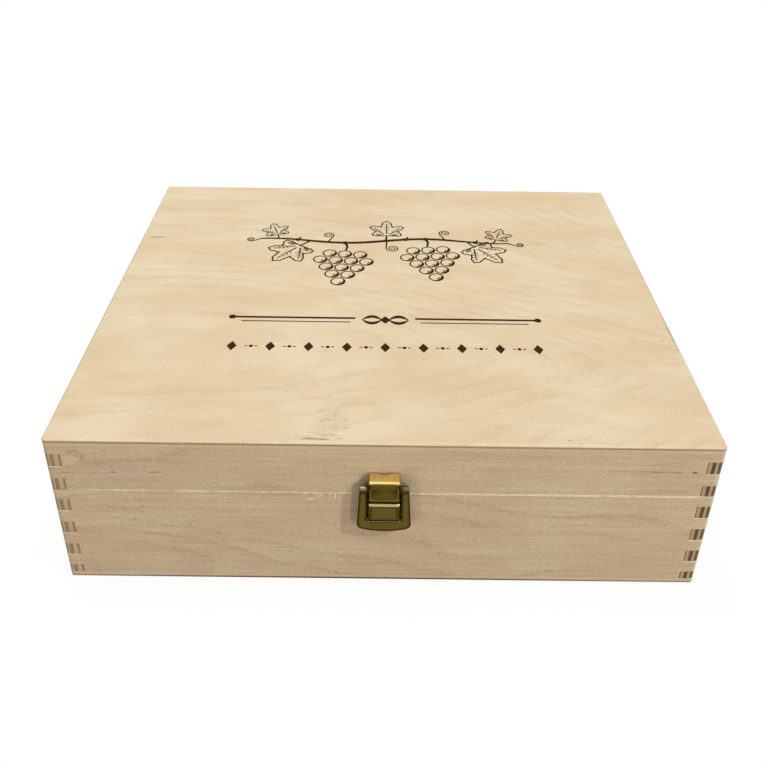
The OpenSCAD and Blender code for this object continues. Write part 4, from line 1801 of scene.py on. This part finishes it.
class Pen:
    """Draws flat strokes and discs for the print, in the lid's millimetres."""

    def __init__(self) -> None:
        """Starts an empty drawing."""
        self.shape = bmesh.new()

    def polygon(self, points: Sequence[Point2], layer: Layer = Layer.SPOT) -> None:
        """Draws a filled convex shape that looks up.

        Args:
            points: its corners.
            layer: the kind of shape that it is.
        """
        area = sum(a[0] * b[1] - b[0] * a[1] for a, b in zip(points, [*points[1:], points[0]]))
        ordered = points if area > 0 else points[::-1]
        self.shape.faces.new([
            self.shape.verts.new((x * MM, y * MM, -layer.value * MM)) for x, y in ordered])

    def stroke(self, points: Sequence[Point2], layer: Layer, start: float, end: Optional[float] = None,
               swell: float = 0.0, closed: bool = False) -> None:
        """Draws a line along points.

        Args:
            points: the line's points.
            layer: the kind of shape that it is.
            start, end: its width at each end; without end it stays the same.
            swell: extra width in the middle.
            closed: whether it runs back to its first point.
        """
        end = start if end is None else end
        count = len(points)
        sides = []
        for i, (x, y) in enumerate(points):
            before = points[i - 1] if (i > 0 or closed) else points[i]
            after = points[(i + 1) % count] if (i < count - 1 or closed) else points[i]
            dx, dy = after[0] - before[0], after[1] - before[1]
            length = math.hypot(dx, dy) or 1.0
            t = i / max(count - 1, 1)
            half = (start + (end - start) * t + swell * math.sin(math.pi * t)) / 2
            aside, ahead = dy / length * half, dx / length * half
            sides.append(((x - aside, y + ahead), (x + aside, y - ahead)))
        for (a, b), (c, d) in zip(sides, sides[1:] + sides[:1] if closed else sides[1:]):
            self.polygon((a, b, d, c), layer)

    def disc(self, centre: Point2, radius: float) -> None:
        """Draws a filled circle."""
        self.polygon(circle(centre, radius, 20))

    def mesh(self, name: str, height: float, thickness: float) -> Mesh:
        """Ends the drawing.

        Args:
            name: the mesh's name.
            height, thickness: the height of the print's top, and its thickness.

        Returns:
            The drawing as thin flat prints.
        """
        bmesh.ops.remove_doubles(self.shape, verts=self.shape.verts, dist=0.0004 * MM)
        faces = self.shape.faces[:]
        raised = bmesh.ops.extrude_face_region(self.shape, geom=faces)
        tops = {item for item in raised["geom"] if isinstance(item, bmesh.types.BMVert)}
        for vertex in self.shape.verts:
            vertex.co.z += height * MM if vertex in tops else (height - thickness) * MM
        bmesh.ops.delete(self.shape, geom=[f for f in faces if f.is_valid], context="FACES_ONLY")
        bmesh.ops.holes_fill(self.shape, edges=[e for e in self.shape.edges if e.is_boundary])
        return closed_mesh(self.shape, name)


@dataclass(frozen=True)
class LeafShape:
    """A lobed vine leaf, as shares of its length; angles are in degrees from its tip."""

    stem: float = 0.22
    middle: float = 0.40
    waist: float = 0.40
    spread: float = 0.46
    scale: float = 0.78
    tooth: float = 0.07
    vein_root: float = 0.16
    lobes: Tuple[Point2, ...] = ((0.0, 0.92), (58.0, 0.80), (118.0, 0.66))
    veins: Tuple[Point2, ...] = ((0.0, 0.60), (58.0, 0.52), (-58.0, 0.52), (118.0, 0.40), (-118.0, 0.40))
    side_veins: Tuple[float, ...] = (0.3, 0.48, 0.66, 0.84)

    def half(self) -> List[Point2]:
        """Draws the toothed edge of one half.

        Returns:
            Its points, from the tip to the stem.
        """
        points = []
        for k in range(77):
            angle = math.radians(2.0 * k)
            reach = self.waist
            for lobe, length in self.lobes:
                gap = (angle - math.radians(lobe)) / self.spread
                reach = max(reach, self.waist + (length - self.waist) * math.exp(-gap * gap * 1.6))
            tooth = abs((k % 6) / 3.0 - 1.0)
            reach *= 1.0 + self.tooth * (tooth - 0.5)
            points.append((self.middle + reach * self.scale * math.cos(angle),
                           reach * self.scale * math.sin(angle)))
        return points


@dataclass(frozen=True)
class VinePrint:
    """A vine branch with two bunches of grapes over an ornamental rule, printed on the lid."""

    ink: Material
    pen: Pen = field(default_factory=Pen)
    leaf: LeafShape = LeafShape()
    half_width: float = 92.0
    grape: float = 5.0
    grape_rows: Tuple[int, ...] = (3, 4, 3, 2, 1)
    thickness: float = 0.05
    branch_y: float = 62.0
    branch_half: float = 87.0
    rule_y: float = -36.0
    row_y: float = -66.0
    diamond_pitch: float = 11.0

    def build(self) -> None:
        """Draws the print and lays it on the lid."""
        self._branch()
        for x, tilt in ((-27.0, -5.0), (29.0, 6.0)):
            self._bunch((x, self.branch_height(x) - 11.0), tilt)
        for x, size, turn in (
                (-53.0, 27.0, 232.0), (56.0, 27.0, -52.0), (1.0, 22.0, 90.0), (-74.0, 17.0, 108.0),
                (76.0, 17.0, 72.0)):
            self._leaf((x, self.branch_height(x)), size, turn)
        for x, size, turn, hand in (
                (-40.0, 15.0, 68.0, 1), (42.0, 15.0, 112.0, -1), (-86.5, 11.0, 215.0, -1),
                (86.5, 11.0, -35.0, 1), (1.0, 17.0, -92.0, 1)):
            self._tendril((x, self.branch_height(x)), size, turn, hand)
        self._rule()
        self._diamonds()
        obj = plain_object("lid_vine_print", self.pen.mesh("lid_vine_print", SIZES.top, self.thickness))
        shade(obj)
        finish_piece(obj, self.ink, "lid", "panel_plywood")

    def branch_height(self, x: float) -> float:
        """Returns how far back the wavy branch lies at x."""
        return self.branch_y + 3.0 * math.sin(x / 17.0) + x * 0.015

    def _branch(self) -> None:
        """Draws the wavy branch, its buds and its short side shoots."""
        points = [(x, self.branch_height(x)) for x in spread(-self.branch_half, self.branch_half, 80)]
        self.pen.stroke(points, Layer.LINE, 1.8, 1.4, 1.6)
        for x, rise in ((-61.0, 4.0), (-28.0, -4.0), (14.0, 4.2), (28.0, -4.0), (63.0, 4.0)):
            y = self.branch_height(x)
            self.pen.disc((x, y), 2.1)
            self.pen.stroke([(x, y), (x + 1.4, y + rise * 0.6), (x + 2.0, y + rise)], Layer.OUTLINE, 1.6, 0.9)

    def _bunch(self, top: Point2, tilt: float) -> None:
        """Draws a stalk and the rows of grapes that hang from it.

        Args:
            top: the foot of the stalk.
            tilt: the bunch's lean in degrees.
        """
        pitch = self.grape * 2 + 0.4
        stalk = [(top[0] - 1.0, top[1] + 11.0), (top[0] + 0.8, top[1] + 5.5), top]
        self.pen.stroke(stalk, Layer.VEIN, 2.0, 1.4)
        for row, count in enumerate(self.grape_rows):
            for k in range(count):
                x, y = (k - (count - 1) / 2) * pitch, -self.grape - row * pitch * 0.87
                self._grape(turned(top, x, y, math.radians(tilt)))

    def _grape(self, centre: Point2) -> None:
        """Draws a grape: an outline, a thick shaded side and a shading line.

        Args:
            centre: its middle.
        """
        self.pen.stroke(circle(centre, self.grape - 0.5, 28), Layer.OUTLINE, 1.0, closed=True)
        for inset, width, span in ((1.35, 1.8, 66.0), (3.1, 0.8, 48.0)):
            start, end = math.radians(-40.0 - span), math.radians(-40.0 + span)
            self.pen.stroke(arc(centre, self.grape - inset, start, end, 10), Layer.VEIN, 0.15, 0.15, width)

    def _leaf(self, root: Point2, size: float, turn: float) -> None:
        """Draws a lobed vine leaf on the branch, with toothed edges, veins and side veins.

        Args:
            root: where its stem leaves the branch.
            size, turn: its rough length, and the direction that it grows in, in degrees.
        """
        leaf = self.leaf
        weight = 0.4 + size / 36.0

        def place(u: float, v: float) -> Point2:
            """Returns a point of the leaf on the lid."""
            return turned(root, size * (u + leaf.stem), size * v, math.radians(turn))

        half = leaf.half()
        outline = [place(u, v) for u, v in half] + [place(u, -v) for u, v in half[::-1][:-1]]
        self.pen.stroke(outline, Layer.OUTLINE, weight, closed=True)
        stem = [place(-leaf.stem, 0.04), place(-0.05, 0.01), place(leaf.vein_root, 0.0)]
        self.pen.stroke(stem, Layer.VEIN, 1.5 * weight, 1.1 * weight)
        for lobe, length in leaf.veins:
            foot = turned((leaf.vein_root, 0.0), 0.10, 0.0, math.radians(lobe))
            tip = turned((leaf.middle, 0.0), length, 0.0, math.radians(lobe))
            dx, dy = tip[0] - foot[0], tip[1] - foot[1]
            self.pen.stroke([place(*foot), place(*tip)], Layer.VEIN, 1.1 * weight, 0.35 * weight)
            for share in leaf.side_veins:
                start = (foot[0] + dx * share, foot[1] + dy * share)
                for hand in (-1, 1):
                    end = turned(start, 0.17 * (1.2 - share), 0.0, math.atan2(dy, dx) + hand * 0.8)
                    self.pen.stroke([place(*start), place(*end)], Layer.HATCH, 0.6 * weight, 0.25 * weight)

    def _tendril(self, root: Point2, size: float, turn: float, hand: int) -> None:
        """Draws a tendril that leaves the branch and curls up into a spiral.

        Args:
            root: where it leaves the branch.
            size, turn: its rough length, and the direction that it grows in, in degrees.
            hand: the side that it curls to, 1 or -1.
        """
        straight = 0.3
        points = []
        for t in spread(0.0, 1.0, 60):
            curl = max(0.0, t - straight) / (1.0 - straight)
            u, v = turned((size * 0.62 * min(1.0, t / straight), size * 0.26),
                          size * 0.26 * (1.0 - 0.88 * curl), 0.0, -math.pi / 2 + 4.2 * math.pi * curl)
            points.append(turned(root, u, hand * v, math.radians(turn)))
        self.pen.stroke(points, Layer.HATCH, 1.2, 0.6)

    def _rule(self) -> None:
        """Draws a thick and a thin line with a knot of leaves in the middle."""
        y = self.rule_y
        for side in (-1, 1):
            for start, inset, drop, width in ((18.0, 0.0, 0.0, 1.9), (21.0, 6.0, 4.2, 0.9)):
                ends = [(side * x, y - drop) for x in (start, self.half_width - inset)]
                self.pen.stroke(ends, Layer.LINE, width)
            self.pen.disc((side * self.half_width, y), 2.2)
            for lift, layer in ((3.6, Layer.OUTLINE), (-3.6, Layer.VEIN)):
                petal = [(side * (2.0 + 12.0 * t), y - 1.5 + lift * math.sin(math.pi * t))
                         for t in spread(0.0, 1.0, 10)]
                self.pen.stroke(petal, layer, 0.4, 0.4, 2.6)
        self.pen.polygon([(0.0, y - 5.5), (3.4, y - 1.5), (0.0, y + 2.5), (-3.4, y - 1.5)])

    def _diamonds(self) -> None:
        """Draws a row of small diamonds, with dots and short bars between them."""
        y = self.row_y
        for k in range(-8, 9):
            x = k * self.diamond_pitch
            if k % 2:
                self.pen.disc((x, y), 1.2)
                for start, end in ((-3.8, -2.0), (2.0, 3.8)):
                    self.pen.stroke([(x + start, y), (x + end, y)], Layer.LINE, 0.8)
            else:
                self.pen.polygon([(x, y - 4.6), (x + 2.9, y), (x, y + 4.6), (x - 2.9, y)])


# ---- raw fibres


@dataclass(frozen=True)
class Splinter:
    """A sliver of raw wood on the front wall: its ends by x and height, and its width, in millimetres."""

    start: Point2
    end: Point2
    width: float
    bow: float = 0.28
    clearance: float = 0.02

    def mesh(self, name: str) -> Mesh:
        """Makes the sliver, tapered to its ends and bowed a little out of the wall.

        Args:
            name: the mesh's name.

        Returns:
            The mesh.
        """
        y = SIZES.front + self.clearance
        first, last = (Vector((x, y, z)) for x, z in (self.start, self.end))
        aside = (last - first).cross(Vector(Axis.Y.value)).normalized()
        outward = -Vector(Axis.Y.value)
        solid = bmesh.new()
        rings = []
        steps = spread(0.0, 1.0, 6)
        for k, t in enumerate(steps):
            point = first + (last - first) * t
            swell = math.sin(math.pi * (k + 0.3) / (len(steps) - 0.4))
            half = aside * (self.width / 2 * swell)
            rings.append([solid.verts.new(corner * MM) for corner in (
                point - half, point + outward * (self.bow * swell), point + half)])
        bridge(solid, rings)
        solid.faces.new(rings[0])
        solid.faces.new(rings[-1])
        return closed_mesh(solid, name)


@dataclass(frozen=True)
class SawFibres:
    """Raw fibres along the saw cut between base and lid, and a few splinters left of the latch."""

    material: Material
    per_mm: float = 1.0
    seed: int = 5
    out: float = 0.02
    inset: float = 8.0
    drop: float = 0.05
    length: float = 5.0
    thickness: float = 0.06
    tilt: float = 0.035
    scatter: Point3 = (1.2, 0.1, 0.1)
    splinters: Tuple[Splinter, ...] = (
        Splinter((-25.1, 64.0), (-25.0, 60.1), 0.75), Splinter((-31.3, 63.9), (-34.8, 60.2), 0.7),
        Splinter((-35.0, 60.4), (-40.5, 59.3), 0.5), Splinter((-36.5, 62.6), (-33.0, 63.7), 0.5),
        Splinter((-28.4, 63.7), (-27.4, 62.3), 0.4), Splinter((-39.0, 62.9), (-42.5, 63.8), 0.4))

    def build(self) -> None:
        """Lays fibres along the front edge of the base's rim, and the splinters."""
        ends = [(x, SIZES.front - self.out, SIZES.saw_z - self.drop)
                for x in (SIZES.left + self.inset, SIZES.right - self.inset)]
        path = point_mesh("rim_fibres", ends, linked=True)
        EdgeFibres().apply_to(path, {
            "Count": int(self.per_mm * math.dist(*ends)), "Length": self.length * MM,
            "Thickness": self.thickness * MM, "Scatter": [value * MM for value in self.scatter],
            "Turn": (0.0, math.pi / 2, 0.0), "Tilt": self.tilt, "Seed": self.seed, "Finish": self.material})
        slivers = joined("front_splinters", [
            splinter.mesh(f"splinter_{k}") for k, splinter in enumerate(self.splinters)])
        for piece in (path, plain_object("front_splinters", slivers)):
            finish_piece(piece, self.material, "base", "wall_plywood")


# ---- studio


WHITE: Colour = (1.0, 1.0, 1.0)
WARM_WHITE: Colour = (1.0, 0.97, 0.93)


@dataclass(frozen=True)
class SoftLamp:
    """A square soft light that looks at the box, in metres and watts."""

    name: str
    place: Point3
    side: float
    power: float
    colour: Colour = WHITE
    target: Point3 = (0.0, 0.0, 0.05)

    def build(self) -> None:
        """Adds the lamp."""
        data = bpy.data.lights.new(self.name, "AREA")
        data.shape = "SQUARE"
        data.size = self.side
        data.energy = self.power
        data.color = self.colour
        lamp = plain_object(self.name, data)
        lamp.location = self.place
        aim = Vector(self.target) - Vector(self.place)
        lamp.rotation_euler = aim.to_track_quat("-Z", "Y").to_euler()


@dataclass(frozen=True)
class Viewpoint:
    """The camera: its place in metres, its directions in degrees, and its lens in millimetres."""

    place: Point3 = (-0.00462, -0.47832, 0.39068)
    down: float = 29.341
    right_turn: float = 0.409
    roll: float = 1.000
    lens: float = 41.153
    sensor: float = 36.0
    shift_y: float = -0.17

    def build(self) -> None:
        """Adds the camera and makes it the scene's."""
        data = bpy.data.cameras.new("view")
        data.lens = self.lens
        data.sensor_width = self.sensor
        data.shift_y = self.shift_y
        data.clip_start = 0.01
        down, turn, roll = (math.radians(a) for a in (self.down, self.right_turn, self.roll))
        forward = Vector((math.sin(turn) * math.cos(down), math.cos(turn) * math.cos(down), -math.sin(down)))
        level = Vector((math.cos(turn), -math.sin(turn), 0.0))
        upright = level.cross(forward)
        right = level * math.cos(roll) + upright * math.sin(roll)
        up = upright * math.cos(roll) - level * math.sin(roll)
        camera = plain_object("view", data)
        axes = Matrix((right, up, -forward)).transposed().to_4x4()
        camera.matrix_world = Matrix.Translation(Vector(self.place)) @ axes
        bpy.context.scene.camera = camera


@dataclass(frozen=True)
class Studio:
    """Pale floor, soft lamps, world and camera, in metres."""

    floor_half: float = 6.0
    floor_drop: float = 0.0003
    floor_shade: float = 0.5
    shadow_share: float = 0.92
    shadow_reach: float = 0.04
    world_strength: float = 0.185
    lamps: Tuple[SoftLamp, ...] = (
        SoftLamp("lamp_top", (-0.45, 0.25, 1.6), 1.5, 16.6),
        SoftLamp("lamp_right", (2.4, -1.54, 2.6), 0.20, 66.0, WARM_WHITE),
        SoftLamp("lamp_low_right", (0.70, -1.10, 0.21), 0.12, 2.6, WARM_WHITE),
        SoftLamp("lamp_low_left", (-0.95, -1.01, 0.24), 0.14, 2.0, WARM_WHITE))

    def build(self) -> None:
        """Sets up everything round the box."""
        self._floor()
        self._world()
        for lamp in self.lamps:
            lamp.build()
        Viewpoint().build()
        bpy.context.scene.view_settings.view_transform = "Standard"

    def _white_to_eye(self, graph: Graph) -> Socket:
        """Returns 1 for camera, glossy and transmission rays, and 0 for the light's other paths."""
        path = graph.add("ShaderNodeLightPath").outputs
        return reduce(graph.largest, (
            path[f"Is {ray} Ray"] for ray in ("Camera", "Glossy", "Transmission")))

    def _floor(self) -> None:
        """Adds the floor, which keeps the box's shadow and looks white elsewhere."""
        half = self.floor_half
        mesh = bpy.data.meshes.new("floor")
        corners = ((-half, -half), (half, -half), (half, half), (-half, half))
        mesh.from_pydata([(x, y, -self.floor_drop) for x, y in corners], [], [(0, 1, 2, 3)])
        floor = plain_object("floor", mesh)
        material, graph = new_material("floor_paper")
        seen = self._white_to_eye(graph)
        tone = graph.between(seen, self.floor_shade, 1.0)
        paper = graph.add("ShaderNodeBsdfDiffuse", {"Color": graph.combine(tone, tone, tone)}).outputs[0]
        white = graph.add("ShaderNodeEmission", {"Color": WHITE, "Strength": 1.0}).outputs[0]
        x, y, _ = graph.separate(graph.add("ShaderNodeTexCoord").outputs["Object"])
        away = graph.largest(graph.minus(graph.size(x), SIZES.right * MM),
                             graph.minus(graph.size(y), SIZES.back * MM))
        share = graph.times(seen, graph.ramp(away, 0.0, self.shadow_reach, self.shadow_share, 1.0))
        mixed = graph.add("ShaderNodeMixShader", {0: share, 1: paper, 2: white}).outputs[0]
        graph.add("ShaderNodeOutputMaterial", {"Surface": mixed})
        mesh.materials.append(material)

    def _world(self) -> None:
        """Sets a plain white world, softer for the light than for the eye."""
        world = bpy.data.worlds.new("studio")
        bpy.context.scene.world = world
        graph = emptied(world)
        strength = graph.between(self._white_to_eye(graph), self.world_strength, 1.0)
        background = graph.add("ShaderNodeBackground", {"Color": WHITE, "Strength": strength})
        graph.add("ShaderNodeOutputWorld", {"Surface": background.outputs[0]})


# ---- the whole


def build_metalwork() -> None:
    """Makes the hinges and the latch, with the metals that they are made of."""
    latch_sizes = LatchSizes.read()
    # Dark brass skin of the latch, partly a painted reflection of dark surroundings in its front faces.
    skin = (0.118, 0.084, 0.016)
    # The hinges get half the painted highlight and a little painted shade.
    Hinges(*(BrassFinish(*look, rub=0.5, soil=0.3).build() for look in (
        ("brass_hinge", (0.34, 0.24, 0.09), (0.80, 0.60, 0.27), 0.36),
        ("steel_pin", (0.42, 0.36, 0.22), (0.75, 0.66, 0.45), 0.34),
        ("brass_screw", (0.48, 0.36, 0.15), (0.85, 0.66, 0.32), 0.30)))).build()
    Latch(
        lever_brass=BrassFinish("brass_antiqued", skin, (0.50, 0.41, 0.21), 0.36).build(),
        # The tongue's copy: a brighter painted highlight on its top, and painted shade on its sides beyond
        # the panel.
        tongue_brass=BrassFinish(
            "brass_antiqued_bright", skin, (0.74, 0.575, 0.20), 0.42,
            soiled_beyond=latch_sizes.tongue_half - latch_sizes.tongue_panel_inset).build(),
        # Dark brass of painted shade, for the pieces seen in the slits and gaps and for the pins.
        inner_brass=BrassFinish(
            "brass_tarnished", (0.075, 0.052, 0.005), (0.09, 0.065, 0.01), 0.55, 0.4).build(),
        sizes=latch_sizes,
    ).build()


def main() -> None:
    """Builds the dressed box and its studio."""
    shop = WoodShop()
    BoxShell(shop).build()
    build_metalwork()
    ink = InkFinish("burnt_ink", (0.030, 0.012, 0.004), (0.10, 0.05, 0.022), shop.TOP_SEED)
    VinePrint(ink.build()).build()
    SawFibres(FibreFinish("raw_fibre", RAW_WOOD).build()).build()
    Studio().build()


if __name__ == "__main__":
    main()
